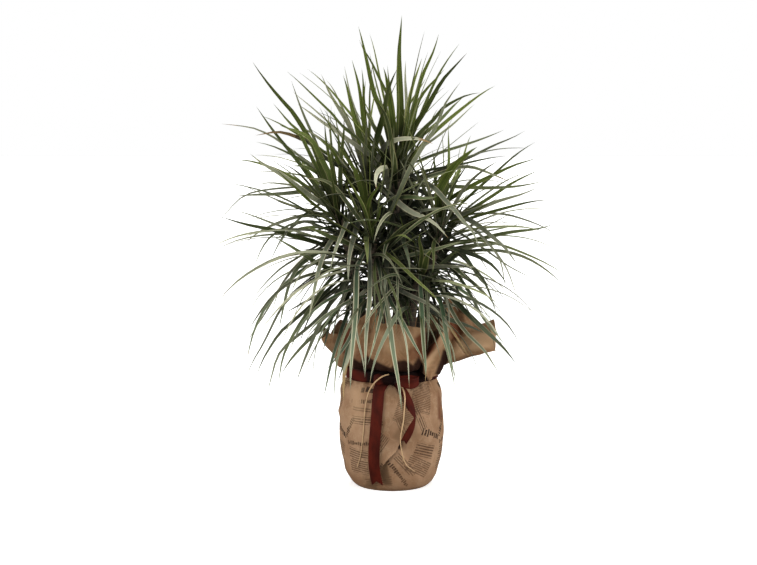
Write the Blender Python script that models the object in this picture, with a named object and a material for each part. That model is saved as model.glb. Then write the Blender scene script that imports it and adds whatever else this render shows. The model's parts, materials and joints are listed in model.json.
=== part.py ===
"""Potted dracaena: leafy canes in soil, in a nursery pot gift-wrapped in paper and tied with a ribbon.

Metres, +Z up. The origin is the middle of the wrap's flat base. -Y faces the viewer and +X is to the right.
Leaves are set round each cane by the golden angle. Each one is bent until it is clear of the leaves before it.
"""

import math
from typing import NamedTuple

import bmesh
import bpy
import numpy as np
from mathutils.bvhtree import BVHTree

# Clearance between pieces that rest on or in each other
GAP = 0.0003

# Nursery pot and its soil
POT_HEIGHT = 0.178
POT_BASE_RADIUS = 0.060
POT_TOP_RADIUS = 0.078
POT_WALL = 0.0016
RIM_HEIGHT = 0.014
RIM_WIDTH = 0.0035
SOIL_DROP = 0.016
SOIL_CROWN = 0.004
ROUND_STEPS = 28

# Paper wrap: the bag's outline as (height, radius), up to the tied neck
PAPER = 0.0012
NECK_RADIUS = 0.0795
NECK_LOW = 0.193
NECK_HIGH = 0.217
BAG_OUTLINE = (
    (0.000, 0.064),
    (0.006, 0.071),
    (0.022, 0.080),
    (0.050, 0.089),
    (0.095, 0.0945),
    (0.140, 0.094),
    (0.172, 0.0885),
    (NECK_LOW, NECK_RADIUS),
    (NECK_HIGH, NECK_RADIUS),
)
PLEAT_DEPTH = 0.0012
COLLAR_ROWS = (0.25, 0.5, 0.75, 1.0)
COLLAR_FLARE = 0.85
# How far the collar's front bulges past that flare, halfway up
FRONT_BILLOW = 0.012

# The collar's free edge, one fold line a row: (degrees round from +X, reach from the axis, height)
COLLAR_EDGE = (
    (-90, 0.116, 0.304),
    (-76, 0.106, 0.299),
    (-60, 0.122, 0.293),
    (-50, 0.084, 0.246),
    (-30, 0.108, 0.286),
    (-22, 0.136, 0.240),
    (-6, 0.184, 0.247),
    (12, 0.190, 0.299),
    (21, 0.166, 0.284),
    (32, 0.122, 0.328),
    (51, 0.122, 0.305),
    (76, 0.124, 0.268),
    (100, 0.110, 0.290),
    (126, 0.130, 0.266),
    (150, 0.112, 0.288),
    (170, 0.118, 0.262),
    (184, 0.124, 0.288),
    (196, 0.136, 0.272),
    (205, 0.128, 0.256),
    (214, 0.096, 0.262),
    (228, 0.106, 0.300),
    (246, 0.078, 0.325),
    (259, 0.110, 0.303),
)

# Satin ribbon and raffia
RIBBON = 0.0012
RIBBON_WIDTH = 0.022
RIBBON_LIFT = 0.0020
TAIL_RIGHT_WIDTH = 0.0132
TAIL_RIGHT_LIFT = 0.0028
BAND_RADIUS = NECK_RADIUS + PLEAT_DEPTH + GAP
BAND_STEPS = 36
KNOT_SIZE = (0.020, 0.014, 0.017)
KNOT_CENTRE = (-0.005, -0.0885, 0.203)
KNOT_ROUNDING = 0.004
RAFFIA_WIDTH = 0.0030
RAFFIA_DEPTH = 0.0009
RAFFIA_LIFT = 0.0008
STRIP_STEPS = 14
STRIP_SHORTEST = 0.003

# What hangs from the knot down the wrap's front: (sideways, height), and how far off the wrap where it changes
TAIL_LEFT = (
    (-0.008, 0.204), (-0.018, 0.186), (-0.026, 0.162), (-0.031, 0.130),
    (-0.034, 0.095), (-0.034, 0.062), (-0.031, 0.034), (-0.024, 0.012),
)
TAIL_RIGHT = ((-0.001, 0.204), (0.019, 0.182), (0.030, 0.160), (0.034, 0.138), (0.030, 0.114), (0.018, 0.094))
RAFFIA_LEFT = (
    (-0.010, 0.2085), (-0.026, 0.203), (-0.037, 0.194), (-0.043, 0.186), (-0.048, 0.158),
    (-0.050, 0.123), (-0.052, 0.087), (-0.062, 0.043),
)
RAFFIA_RIGHT = (
    (0.0120, 0.1930), (0.018, 0.175), (0.0195, 0.150), (0.017, 0.125),
    (0.012, 0.095), (0.014, 0.073), (0.021, 0.052), (0.040, 0.034),
)
# The left raffia passes over the left loop: (height, distance off the wrap)
RAFFIA_LEFT_LIFT = (
    (0.0, RAFFIA_LIFT), (0.174, RAFFIA_LIFT), (0.1905, 0.0210), (0.1985, 0.0225), (0.2085, 0.0165),
)
# The bow's loops: (sideways, out from the knot's middle, down from it)
LOOP_LEFT = (
    (-0.0045, -0.004, 0.000), (-0.020, -0.005, 0.001), (-0.036, -0.004, 0.002), (-0.045, 0.000, 0.003),
    (-0.036, 0.005, 0.002), (-0.020, 0.004, 0.001), (-0.0045, 0.002, 0.000),
)
LOOP_RIGHT = (
    (0.0045, -0.004, 0.000), (0.022, -0.013, 0.007), (0.040, -0.014, 0.011), (0.052, -0.006, 0.010),
    (0.044, 0.001, 0.008), (0.026, 0.003, 0.004), (0.0045, 0.002, 0.000),
)
# A loop is gathered where it meets the knot: share of the ribbon's width at shares of the loop
LOOP_GATHER = ((0.0, 0.45), (0.3, 0.85), (0.7, 0.85), (1.0, 0.45))

# Canes and leaves
CANE_RADIUS = 0.0090
CROWN_RADIUS = 0.0055
CANE_SIDES = 8
CANE_RINGS = 8
ROOT_DEPTH = 0.070
KNEE_HEIGHT = 0.55
GOLDEN_ANGLE = 137.508
CANE_TURN = 57
LEAF_WIDTH = 0.0132
LEAF_KEEL = 0.0015
TIP_KEEL = 0.45
LEAF_ROOT_REACH = 0.6
LEAF_TAPER = ((0.0, 0.36), (0.12, 0.66), (0.34, 1.0), (0.62, 0.80), (0.85, 0.42), (1.0, 0.0))
STRAIGHT_STATIONS = (0.0, 0.12, 0.42, 1.0)
CURVED_STATIONS = (0.0, 0.12, 0.32, 0.54, 0.77, 1.0)
MOST_STRAIGHT_DROOP = 24
LINE_STEPS = 24

# How leaves grow, in degrees: a young leaf rises and an old one lies out and droops, more on the side that it leans to
YOUNG_RISE = 84
RISE_LOST = 70
AGEING = 0.85
LEAN = 15
FULL_LEAN_REACH = 0.05
YOUNG_DROOP = 8
DROOP_GAINED = 100
YOUNG_BEND = 1.5
BEND_LOST = 0.8
RISE_SPREAD = 4
AZIMUTH_SPREAD = 7
ROLL_SPREAD = 28
SWEEP_SPREAD = 9
OLDEST_LENGTH = 0.94
CROWDING = 1.05

# Outline leaves: how early they bend, and how far they roll to face the viewer
HANGING_DROOP = 60
EARLY_BEND = 0.6
LATE_BEND = 1.2
OUTLINE_ROLL = 50

# A leaf that isn't clear of the others is drawn again, with a wider spread at each try
RISE_STRAIN = 1.2
AZIMUTH_STRAIN = 2.5
LENGTH_STRAIN = 0.004
OUTLINE_STRAIN = 2
LEAF_CLEARANCE = 0.0013
OWN_LEAF_START = 1
MOST_TRIES = 48


class Cane(NamedTuple):
    """One rooted cane: where it stands in the soil, where its growing tip is, and its head of leaves.

    young is the length of its newest leaves, as a share of leaf_length.
    """

    name: str
    base: tuple
    crown: tuple
    leafy: float
    leaves: int
    leaf_length: float
    young: float


class Leaf(NamedTuple):
    """One leaf: its compass angle, rise at the root, total droop, how early it bends, size, roll and sweep."""

    azimuth: float
    rise: float
    droop: float
    bend: float
    length: float
    width: float
    roll: float
    sweep: float


CANES = (
    Cane("cane_tall", (0.010, 0.012), (0.008, 0.015, 0.578), 0.165, 50, 0.252, 0.90),
    Cane("cane_upper_left", (-0.020, 0.036), (-0.046, 0.050, 0.545), 0.140, 42, 0.242, 0.88),
    Cane("cane_left", (-0.040, -0.002), (-0.098, -0.004, 0.492), 0.140, 48, 0.245, 0.80),
    Cane("cane_right", (0.040, 0.000), (0.092, -0.008, 0.482), 0.140, 50, 0.240, 0.60),
    Cane("cane_front", (-0.016, -0.032), (-0.034, -0.066, 0.452), 0.125, 48, 0.270, 0.60),
    Cane("cane_low", (0.018, -0.036), (0.048, -0.064, 0.388), 0.075, 30, 0.240, 0.60),
    Cane("cane_back", (0.020, 0.044), (0.036, 0.090, 0.465), 0.135, 44, 0.255, 0.70),
)

# Leaves set by hand, since they draw the plant's outline:
# cane -> (share of the leafy length down from the crown, azimuth, rise, droop, length)
OUTLINE_LEAVES = {
    "cane_tall": (
        (0.01, 60, 89, 2, 0.262),
        (0.04, 186, 74, 4, 0.252),
        (0.05, -6, 74, 4, 0.238),
        (0.09, -18, 60, 4, 0.226),
        (0.16, 8, 56, 30, 0.240),
        (0.22, 4, 24, 3, 0.212),
    ),
    "cane_upper_left": (
        (0.03, 178, 84, 2, 0.214),
        (0.05, 170, 77, 4, 0.216),
        (0.08, 188, 67, 5, 0.216),
        (0.12, 176, 56, 6, 0.244),
        (0.20, 186, 52, 34, 0.240),
        (0.32, 174, 46, 52, 0.236),
        (0.44, 188, 32, 40, 0.224),
    ),
    "cane_left": (
        (0.03, 184, 62, 3, 0.312),
        (0.07, 196, 55, 4, 0.240),
        (0.13, 174, 58, 56, 0.236),
        (0.22, 182, 17, 10, 0.206),
        (0.50, 176, 20, 4, 0.212),
        (0.60, 192, 12, 92, 0.285),
        (0.72, 178, 6, 88, 0.285),
        (0.84, 206, 8, 90, 0.285),
        (0.94, 168, 0, 84, 0.270),
    ),
    "cane_right": (
        (0.06, -4, 48, 14, 0.212),
        (0.12, 8, 32, 4, 0.200),
        (0.18, -10, 26, 22, 0.200),
        (0.36, 2, 14, 8, 0.206),
        (0.40, -18, 30, 66, 0.240),
    ),
}


def joined_rows(points, closed_around):
    """Returns vertices and quads of a grid of points: rows of points, each joined to the next row.

    points is an array of (rows, columns, 3). closed_around joins each row's last point to its first.
    """
    rows, columns, _ = points.shape
    spans = columns if closed_around else columns - 1
    quads = []
    for row in range(rows - 1):
        for column in range(spans):
            after = (column + 1) % columns
            quads.append((
                row * columns + column,
                row * columns + after,
                (row + 1) * columns + after,
                (row + 1) * columns + column,
            ))
    return points.reshape(-1, 3), quads


def new_mesh(name, vertices, faces, closed=True):
    """A mesh whose faces point outwards. An open sheet keeps the way its faces are given."""
    mesh = bpy.data.meshes.new(name)
    mesh.from_pydata([tuple(map(float, v)) for v in vertices], [], faces)
    if closed:
        shape = bmesh.new()
        shape.from_mesh(mesh)
        bmesh.ops.recalc_face_normals(shape, faces=shape.faces)
        shape.to_mesh(mesh)
        shape.free()
    return mesh


def new_object(name, vertices, faces, material, smooth=False, closed=True):
    """Links an object with such a mesh and one material."""
    mesh = new_mesh(name, vertices, faces, closed)
    if smooth:
        mesh.shade_smooth()
        mesh.set_sharp_from_angle(angle=math.radians(40))
    mesh.materials.append(material)
    obj = bpy.data.objects.new(name, mesh)
    bpy.context.scene.collection.objects.link(obj)
    return obj


def finish_material(name, colour, roughness):
    """A Principled BSDF with one colour and roughness."""
    material = bpy.data.materials.new(name)
    material.use_nodes = True
    shader = material.node_tree.nodes["Principled BSDF"]
    shader.inputs["Base Color"].default_value = (*colour, 1.0)
    shader.inputs["Roughness"].default_value = roughness
    return material


def turned(name, outline, material):
    """A round body from a closed outline of (radius, height), whose first and last points lie on the axis."""
    angles = np.linspace(0, 2 * math.pi, ROUND_STEPS, endpoint=False)
    vertices = [(0, 0, outline[0][1])]
    for radius, height in outline[1:-1]:
        vertices.extend((radius * math.cos(a), radius * math.sin(a), height) for a in angles)
    vertices.append((0, 0, outline[-1][1]))
    last = len(vertices) - 1
    faces = [(0, 1 + (i + 1) % ROUND_STEPS, 1 + i) for i in range(ROUND_STEPS)]
    for ring in range(len(outline) - 3):
        low = 1 + ring * ROUND_STEPS
        high = low + ROUND_STEPS
        for i in range(ROUND_STEPS):
            after = (i + 1) % ROUND_STEPS
            faces.append((low + i, low + after, high + after, high + i))
    top = last - ROUND_STEPS
    faces.extend((top + i, top + (i + 1) % ROUND_STEPS, last) for i in range(ROUND_STEPS))
    return new_object(name, vertices, faces, material, smooth=True)


def join_by_union(target, pieces):
    """Fuses the pieces into target with one Boolean union on a collection, and removes them."""
    group = bpy.data.collections.new(target.name + "_pieces")
    bpy.context.scene.collection.children.link(group)
    for piece in pieces:
        bpy.context.scene.collection.objects.unlink(piece)
        group.objects.link(piece)
    union = target.modifiers.new("union", "BOOLEAN")
    union.operation = "UNION"
    union.operand_type = "COLLECTION"
    union.collection = group
    union.solver = "MANIFOLD"
    with bpy.context.temp_override(object=target, active_object=target):
        bpy.ops.object.modifier_apply(modifier=union.name)
    for piece in pieces:
        bpy.data.objects.remove(piece)
    bpy.data.collections.remove(group)
    return target


def bag_radius(height):
    """Radius of the wrap's bag at a height, along its outline."""
    heights, radii = zip(*BAG_OUTLINE)
    return float(np.interp(height, heights, radii))


def wrap_angles():
    """Compass angles of the wrap's columns: each fold line, and the valley halfway to the next."""
    ridges = [row[0] for row in COLLAR_EDGE]
    following = ridges[1:] + [ridges[0] + 360]
    angles = []
    for ridge, after in zip(ridges, following):
        angles += [ridge, (ridge + after) / 2]
    return np.radians(angles)


def collar_edge(angle):
    """Reach and height of the collar's free edge at an angle, straight between its fold lines."""
    degrees = (math.degrees(angle) - COLLAR_EDGE[0][0]) % 360 + COLLAR_EDGE[0][0]
    lines = COLLAR_EDGE + ((COLLAR_EDGE[0][0] + 360, *COLLAR_EDGE[0][1:]),)
    angles, reaches, heights = zip(*lines)
    return float(np.interp(degrees, angles, reaches)), float(np.interp(degrees, angles, heights))


def wrap_column(angle, valley):
    """Points up one column of the wrap, from the base to the collar's edge, at the paper's outer face."""
    pleat = -PLEAT_DEPTH if valley else PLEAT_DEPTH
    column = []
    for height, radius in BAG_OUTLINE:
        depth = pleat * min(1.0, height / NECK_LOW)
        column.append((radius + depth, height))
    reach, top = collar_edge(angle)
    for share in COLLAR_ROWS:
        flare = (reach - NECK_RADIUS) * share ** COLLAR_FLARE
        billow = FRONT_BILLOW * max(0.0, -math.sin(angle)) * math.sin(math.pi * share)
        column.append((NECK_RADIUS + flare + billow + pleat * (1 - share), NECK_HIGH + (top - NECK_HIGH) * share))
    return [(r * math.cos(angle), r * math.sin(angle), z) for r, z in column]


def build_wrap(material):
    """The paper wrap: a bag round the pot, pinched at the neck, with a creased collar above it."""
    angles = wrap_angles()
    columns = np.array([wrap_column(a, i % 2 == 1) for i, a in enumerate(angles)])
    points, quads = joined_rows(columns.transpose(1, 0, 2), closed_around=True)
    centre = len(points)
    points = np.vstack([points, [0.0, 0.0, 0.0]])
    count = len(angles)
    floor = [(centre, (i + 1) % count, i) for i in range(count)]
    wrap = new_object("paper_wrap", points, floor + quads, material, closed=False)
    shell = wrap.modifiers.new("paper", "SOLIDIFY")
    shell.thickness = PAPER
    shell.offset = -1
    return wrap


def build_pot(material):
    """The nursery pot: a tapered cup with a turned-out rim, standing inside the wrap."""
    low = PAPER + GAP
    high = low + POT_HEIGHT
    rim_low = high - RIM_HEIGHT
    outline = (
        (0, low),
        (POT_BASE_RADIUS, low),
        (POT_TOP_RADIUS, rim_low),
        (POT_TOP_RADIUS + RIM_WIDTH, rim_low),
        (POT_TOP_RADIUS + RIM_WIDTH, high),
        (POT_TOP_RADIUS - POT_WALL, high),
        (POT_BASE_RADIUS - POT_WALL, low + POT_WALL),
        (0, low + POT_WALL),
    )
    return turned("nursery_pot", outline, material)


def soil_top():
    """Height of the soil where it meets the pot."""
    return PAPER + GAP + POT_HEIGHT - SOIL_DROP


def build_soil(material):
    """The potting soil, slightly crowned, with a plain hole for each cane."""
    low = PAPER + GAP + POT_WALL + GAP
    high = soil_top()
    slope = (POT_TOP_RADIUS - POT_BASE_RADIUS) / (POT_HEIGHT - POT_WALL)
    inner = POT_BASE_RADIUS - POT_WALL - 2 * GAP
    outline = (
        (0, low),
        (inner, low),
        (inner + slope * (high - low), high),
        (inner * 0.6, high + SOIL_CROWN),
        (0, high + SOIL_CROWN),
    )
    soil = turned("soil", outline, material)
    for cane in CANES:
        hole = bpy.data.objects.new(cane.name + "_hole", cane_mesh(cane, GAP * 2, material))
        bpy.context.scene.collection.objects.link(hole)
        hole.hide_render = True
        hole.display_type = "WIRE"
        cut = soil.modifiers.new(hole.name, "BOOLEAN")
        cut.operation = "DIFFERENCE"
        cut.object = hole
    return soil


def wrap_front(sideways, height, lift):
    """A point on the wrap's front, lifted off it, at a distance sideways from its middle."""
    radius = bag_radius(height) + PLEAT_DEPTH + lift
    return (sideways, -math.sqrt(radius ** 2 - sideways ** 2), height)


def strip(name, line, across, outward, width, depth, material):
    """A flat strip along a line: its section is a rectangle, width wide along across and depth deep.

    width is one number, or one for each point of the line.
    """
    side = across * np.broadcast_to(width, len(line))[:, None] / 2
    lift = outward * depth
    rings = np.stack([line - side, line + side, line + side + lift, line - side + lift], axis=1)
    points, quads = joined_rows(rings, closed_around=True)
    last = len(points) - 4
    return new_object(name, points, quads + [(0, 1, 2, 3), (last, last + 1, last + 2, last + 3)], material)


def hanging_strip(name, places, width, depth, lift, material):
    """A strip that hangs down the wrap's front through places, each a (sideways, height), over each of its bends.

    lift is its distance off the wrap: one number, or rows of (height, distance).
    """
    sideways, heights = np.array(places[::-1]).T
    bends = [height for height, _ in BAG_OUTLINE if heights[0] < height < heights[-1]]
    kept = [heights[0], *bends, heights[-1]]
    even = np.linspace(heights[0], heights[-1], STRIP_STEPS)
    steps = np.sort(kept + [step for step in even if np.abs(kept - step).min() > STRIP_SHORTEST])[::-1]
    lifts = np.interp(steps, *np.array(lift).T) if isinstance(lift, tuple) else [lift] * len(steps)
    line = np.array([wrap_front(*place) for place in zip(np.interp(steps, heights, sideways), steps, lifts)])
    run = np.gradient(line, axis=0)
    run /= np.linalg.norm(run, axis=1)[:, None]
    outward = np.array([(x, y, 0) for x, y, _ in line])
    outward -= run * np.sum(outward * run, axis=1)[:, None]
    outward /= np.linalg.norm(outward, axis=1)[:, None]
    return strip(name, line, np.cross(run, outward), outward, width, depth, material)


def bow_loop(name, places, material):
    """One loop of the bow: a band whose plan is a drop, from the knot out and back."""
    x, y, z = KNOT_CENTRE
    line = np.array([(x + sideways, y + out, z - down) for sideways, out, down in places])
    run = np.gradient(line, axis=0)
    run /= np.linalg.norm(run, axis=1)[:, None]
    upright = np.tile((0.0, 0.0, 1.0), (len(line), 1))
    shares = np.linspace(0, 1, len(line))
    width = RIBBON_WIDTH * np.interp(shares, *np.array(LOOP_GATHER).T)
    return strip(name, line, upright, np.cross(run, upright), width, RIBBON, material)


def build_ribbon(material):
    """The satin ribbon: a band round the neck, a knot in front of it, two loops and two tails."""
    middle = (NECK_LOW + NECK_HIGH) / 2
    band_angles = np.linspace(0, 2 * math.pi, BAND_STEPS, endpoint=False)
    rings = []
    for radius, height in (
        (BAND_RADIUS, middle - RIBBON_WIDTH / 2),
        (BAND_RADIUS + RIBBON, middle - RIBBON_WIDTH / 2),
        (BAND_RADIUS + RIBBON, middle + RIBBON_WIDTH / 2),
        (BAND_RADIUS, middle + RIBBON_WIDTH / 2),
    ):
        rings.append([(radius * math.cos(a), radius * math.sin(a), height) for a in band_angles])
    rings.append(rings[0])
    points, quads = joined_rows(np.array(rings), closed_around=True)
    band = new_object("ribbon_bow", points, quads, material)
    weld = band.modifiers.new("weld", "WELD")
    weld.merge_threshold = 0.0001
    with bpy.context.temp_override(object=band, active_object=band):
        bpy.ops.object.modifier_apply(modifier=weld.name)
    knot_mesh = bpy.data.meshes.new("knot")
    shape = bmesh.new()
    bmesh.ops.create_cube(shape, size=1.0)
    bmesh.ops.scale(shape, vec=KNOT_SIZE, verts=shape.verts)
    bmesh.ops.translate(shape, vec=KNOT_CENTRE, verts=shape.verts)
    bmesh.ops.bevel(shape, geom=shape.edges, offset=KNOT_ROUNDING, segments=2, affect="EDGES")
    shape.to_mesh(knot_mesh)
    shape.free()
    knot = bpy.data.objects.new("knot", knot_mesh)
    bpy.context.scene.collection.objects.link(knot)
    pieces = [
        knot,
        bow_loop("loop_left", LOOP_LEFT, material),
        bow_loop("loop_right", LOOP_RIGHT, material),
        hanging_strip("tail_left", TAIL_LEFT, RIBBON_WIDTH, RIBBON, RIBBON_LIFT, material),
        hanging_strip("tail_right", TAIL_RIGHT, TAIL_RIGHT_WIDTH, RIBBON, TAIL_RIGHT_LIFT, material),
    ]
    return join_by_union(band, pieces)


def cane_line(cane, start=0.0, end=1.0, count=CANE_RINGS):
    """Points up the cane's middle, from its foot in the soil, first upright and then leaning to its crown."""
    foot = np.array((*cane.base, soil_top() - ROOT_DEPTH))
    crown = np.array(cane.crown)
    knee = np.array((*cane.base, foot[2] + KNEE_HEIGHT * (crown[2] - foot[2])))
    share = np.linspace(start, end, count)[:, None]
    return (1 - share) ** 2 * foot + 2 * share * (1 - share) * knee + share ** 2 * crown


def cane_radius(share):
    """The cane's radius at a share of its length: even up to its head, then tapering to the crown."""
    return float(np.interp(share, (0.0, 0.7, 1.0), (CANE_RADIUS, CANE_RADIUS, CROWN_RADIUS)))


def cane_mesh(cane, grow, material):
    """A many-sided tube up the cane's line, grown by a clearance."""
    line = cane_line(cane)
    shares = np.linspace(0, 1, CANE_RINGS)
    around = np.linspace(0, 2 * math.pi, CANE_SIDES, endpoint=False)
    rings = []
    for (x, y, z), share in zip(line, shares):
        radius = cane_radius(share) + grow
        rings.append([(x + radius * math.cos(a), y + radius * math.sin(a), z) for a in around])
    rings = np.array(rings)
    rings[0, :, 2] -= grow
    points, quads = joined_rows(rings, closed_around=True)
    last = len(points) - CANE_SIDES
    caps = [tuple(range(CANE_SIDES)), tuple(range(last, last + CANE_SIDES))]
    mesh = new_mesh(cane.name, points, quads + caps)
    mesh.materials.append(material)
    return mesh


def leaf_line(root, leaf, shares):
    """Points and directions along a leaf's middle, at shares of its length.

    The leaf leaves its root at its rise. Its slope falls by droop * s ** bend at a share s of its length,
    and its compass angle turns evenly by its sweep.
    """
    middles = (np.arange(LINE_STEPS) + 0.5) / LINE_STEPS
    slope = np.radians(leaf.rise - leaf.droop * middles ** leaf.bend)
    heading = np.radians(leaf.azimuth + leaf.sweep * middles)
    steps = np.stack([np.cos(slope) * np.cos(heading), np.cos(slope) * np.sin(heading), np.sin(slope)], axis=1)
    line = np.vstack([np.zeros(3), np.cumsum(steps, axis=0)]) * leaf.length / LINE_STEPS + root
    along = np.linspace(0, 1, LINE_STEPS + 1)
    points = np.stack([np.interp(shares, along, line[:, k]) for k in range(3)], axis=1)
    runs = np.stack([np.interp(shares, middles, steps[:, k]) for k in range(3)], axis=1)
    return points, runs / np.linalg.norm(runs, axis=1)[:, None]


def leaf_half_width(leaf, shares):
    """Half the blade's width: narrow at its root, widest at a third of its length, then tapering to the tip."""
    return leaf.width / 2 * np.interp(shares, *np.array(LEAF_TAPER).T)


def blade_rings(root, leaf, margin=0.0):
    """The blade's section at each station: left edge, right edge, keel below and, with a margin, crest above."""
    shares = np.array(STRAIGHT_STATIONS if leaf.droop < MOST_STRAIGHT_DROOP else CURVED_STATIONS)
    points, runs = leaf_line(root, leaf, shares)
    heading = math.radians(leaf.azimuth)
    level = np.array((-math.sin(heading), math.cos(heading), 0.0))
    side = level - runs * (runs @ level)[:, None]
    side /= np.linalg.norm(side, axis=1)[:, None]
    above = np.cross(runs, side)
    roll = math.radians(leaf.roll)
    turned_side = side * math.cos(roll) + above * math.sin(roll)
    turned_above = above * math.cos(roll) - side * math.sin(roll)
    half = (leaf_half_width(leaf, shares) + margin)[:, None]
    keel = (LEAF_KEEL * np.interp(shares, (0, 1), (1, TIP_KEEL)) + margin)[:, None]
    ring = [points - turned_side * half, points - turned_above * keel, points + turned_side * half]
    if margin:
        ring.append(points + turned_above * margin)
    return np.stack(ring, axis=1)


def blade_object(name, root, leaf, material):
    """A closed blade: three-sided sections joined up, drawn to a point at the tip."""
    rings = blade_rings(root, leaf)
    points, quads = joined_rows(rings[:-1], closed_around=True)
    tip = len(points)
    points = np.vstack([points, rings[-1].mean(axis=0)])
    first = tip - 3
    faces = quads + [(2, 1, 0)] + [(first + i, first + (i + 1) % 3, tip) for i in range(3)]
    return new_object(name, points, faces, material)


def blade_surface(root, leaf, first_station=0):
    """The blade's surface with its clearance round it, as (points, faces), from a station on."""
    rings = blade_rings(root, leaf, LEAF_CLEARANCE)[first_station:]
    points, quads = joined_rows(rings, closed_around=True)
    return [tuple(map(float, p)) for p in points], quads


def tree_of(shapes):
    """One search tree of several (points, faces) surfaces."""
    points, faces = [], []
    for more_points, more_faces in shapes:
        start = len(points)
        points.extend(more_points)
        faces.extend(tuple(i + start for i in face) for face in more_faces)
    return BVHTree.FromPolygons(points, faces)


def surface_of(obj):
    """An object's evaluated surface as (points, faces)."""
    evaluated = obj.evaluated_get(bpy.context.evaluated_depsgraph_get())
    mesh = evaluated.to_mesh()
    shape = ([tuple(v.co) for v in mesh.vertices], [tuple(p.vertices) for p in mesh.polygons])
    evaluated.to_mesh_clear()
    return shape


def grown_leaf(cane, age, azimuth, draw, strain):
    """A leaf as the cane grows it. Young leaves stand up, and old ones lie out and droop early.

    age runs from 0 at the crown to 1 at the lowest leaf, and strain widens the spread of what is drawn.
    """
    outward = math.degrees(math.atan2(cane.crown[1] - cane.base[1], cane.crown[0] - cane.base[0]))
    reach = math.hypot(cane.crown[1] - cane.base[1], cane.crown[0] - cane.base[0])
    lean = LEAN * min(1.0, reach / FULL_LEAN_REACH) * math.cos(math.radians(azimuth - outward))
    rise = YOUNG_RISE - RISE_LOST * age ** AGEING - lean + draw.normal() * (RISE_SPREAD + RISE_STRAIN * strain)
    droop = (YOUNG_DROOP + DROOP_GAINED * age) * draw.uniform(0.75, 1.15)
    length = cane.leaf_length * draw.uniform(0.86, 1.12)
    length *= np.interp(age, (0, 0.2, 0.7, 1), (cane.young, 1, 1, OLDEST_LENGTH))
    return Leaf(
        azimuth + draw.normal() * (AZIMUTH_SPREAD + AZIMUTH_STRAIN * strain),
        rise,
        droop,
        YOUNG_BEND - BEND_LOST * age,
        length * (1 - LENGTH_STRAIN * strain),
        LEAF_WIDTH * draw.uniform(0.86, 1.1),
        draw.normal() * ROLL_SPREAD,
        draw.normal() * SWEEP_SPREAD,
    )


def moved_leaf(leaf, draw, attempt):
    """A leaf set by hand, turned and raised a little more at each try after the first."""
    if attempt == 0:
        return leaf
    azimuth = leaf.azimuth + draw.normal() * attempt
    return leaf._replace(azimuth=azimuth, rise=leaf.rise + draw.normal() * OUTLINE_STRAIN)


def leaf_root(cane, age, azimuth):
    """Where a leaf starts: inside the cane's head, a little off its middle."""
    height = cane.crown[2] - (soil_top() - ROOT_DEPTH)
    share = 1.0 - 0.01 - cane.leafy * age / height
    point = cane_line(cane, share, share, 1)[0]
    heading = math.radians(azimuth)
    return point + LEAF_ROOT_REACH * cane_radius(share) * np.array((math.cos(heading), math.sin(heading), 0.0))


def place_leaves(cane, number, obstacles):
    """Chooses the cane's leaves one by one, each drawn again until it is clear of the rest.

    Returns their (root, leaf) pairs and their surfaces.
    """
    wanted = []
    for age, azimuth, rise, droop, length in OUTLINE_LEAVES.get(cane.name, ()):
        bend = EARLY_BEND if droop > HANGING_DROOP else LATE_BEND
        roll = OUTLINE_ROLL * math.cos(math.radians(azimuth))
        wanted.append((age, azimuth, Leaf(azimuth, rise, droop, bend, length, LEAF_WIDTH, roll, 0.0)))
    for index in range(cane.leaves):
        age = ((index + 0.5) / cane.leaves) ** CROWDING
        wanted.append((age, index * GOLDEN_ANGLE + CANE_TURN * number, None))
    placed, whole, outer = [], [], []
    for index, (age, azimuth, fixed) in enumerate(wanted):
        for attempt in range(MOST_TRIES):
            draw = np.random.default_rng((number, index, attempt))
            leaf = moved_leaf(fixed, draw, attempt) if fixed else grown_leaf(cane, age, azimuth, draw, attempt)
            root = leaf_root(cane, age, leaf.azimuth)
            surface = blade_surface(root, leaf)
            tree = tree_of([surface])
            if any(tree.overlap(other) for other in obstacles):
                continue
            outer_surface = blade_surface(root, leaf, OWN_LEAF_START)
            if outer and tree_of([outer_surface]).overlap(tree_of(outer)):
                continue
            placed.append((root, leaf))
            whole.append(surface)
            outer.append(outer_surface)
            break
    return placed, whole


def build_canes(leaf_material, holders):
    """Every cane with its head of leaves, each fused into one body that is clear of the others and the holders."""
    stems = []
    for cane in CANES:
        stem = bpy.data.objects.new(cane.name, cane_mesh(cane, 0.0, leaf_material))
        bpy.context.scene.collection.objects.link(stem)
        stems.append(stem)
    finished = [tree_of([surface_of(holder)]) for holder in holders]
    bare = {stem.name: tree_of([surface_of(stem)]) for stem in stems}
    for number, (cane, stem) in enumerate(zip(CANES, stems)):
        others = [tree for name, tree in bare.items() if name != cane.name]
        leaves, surfaces = place_leaves(cane, number, finished + others)
        blades = [
            blade_object(f"{cane.name}_leaf_{i}", root, leaf, leaf_material)
            for i, (root, leaf) in enumerate(leaves)
        ]
        join_by_union(stem, blades)
        finished.append(tree_of(surfaces))
        print(f"{cane.name}: {len(leaves)} leaves, {len(stem.data.polygons)} faces")


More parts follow.
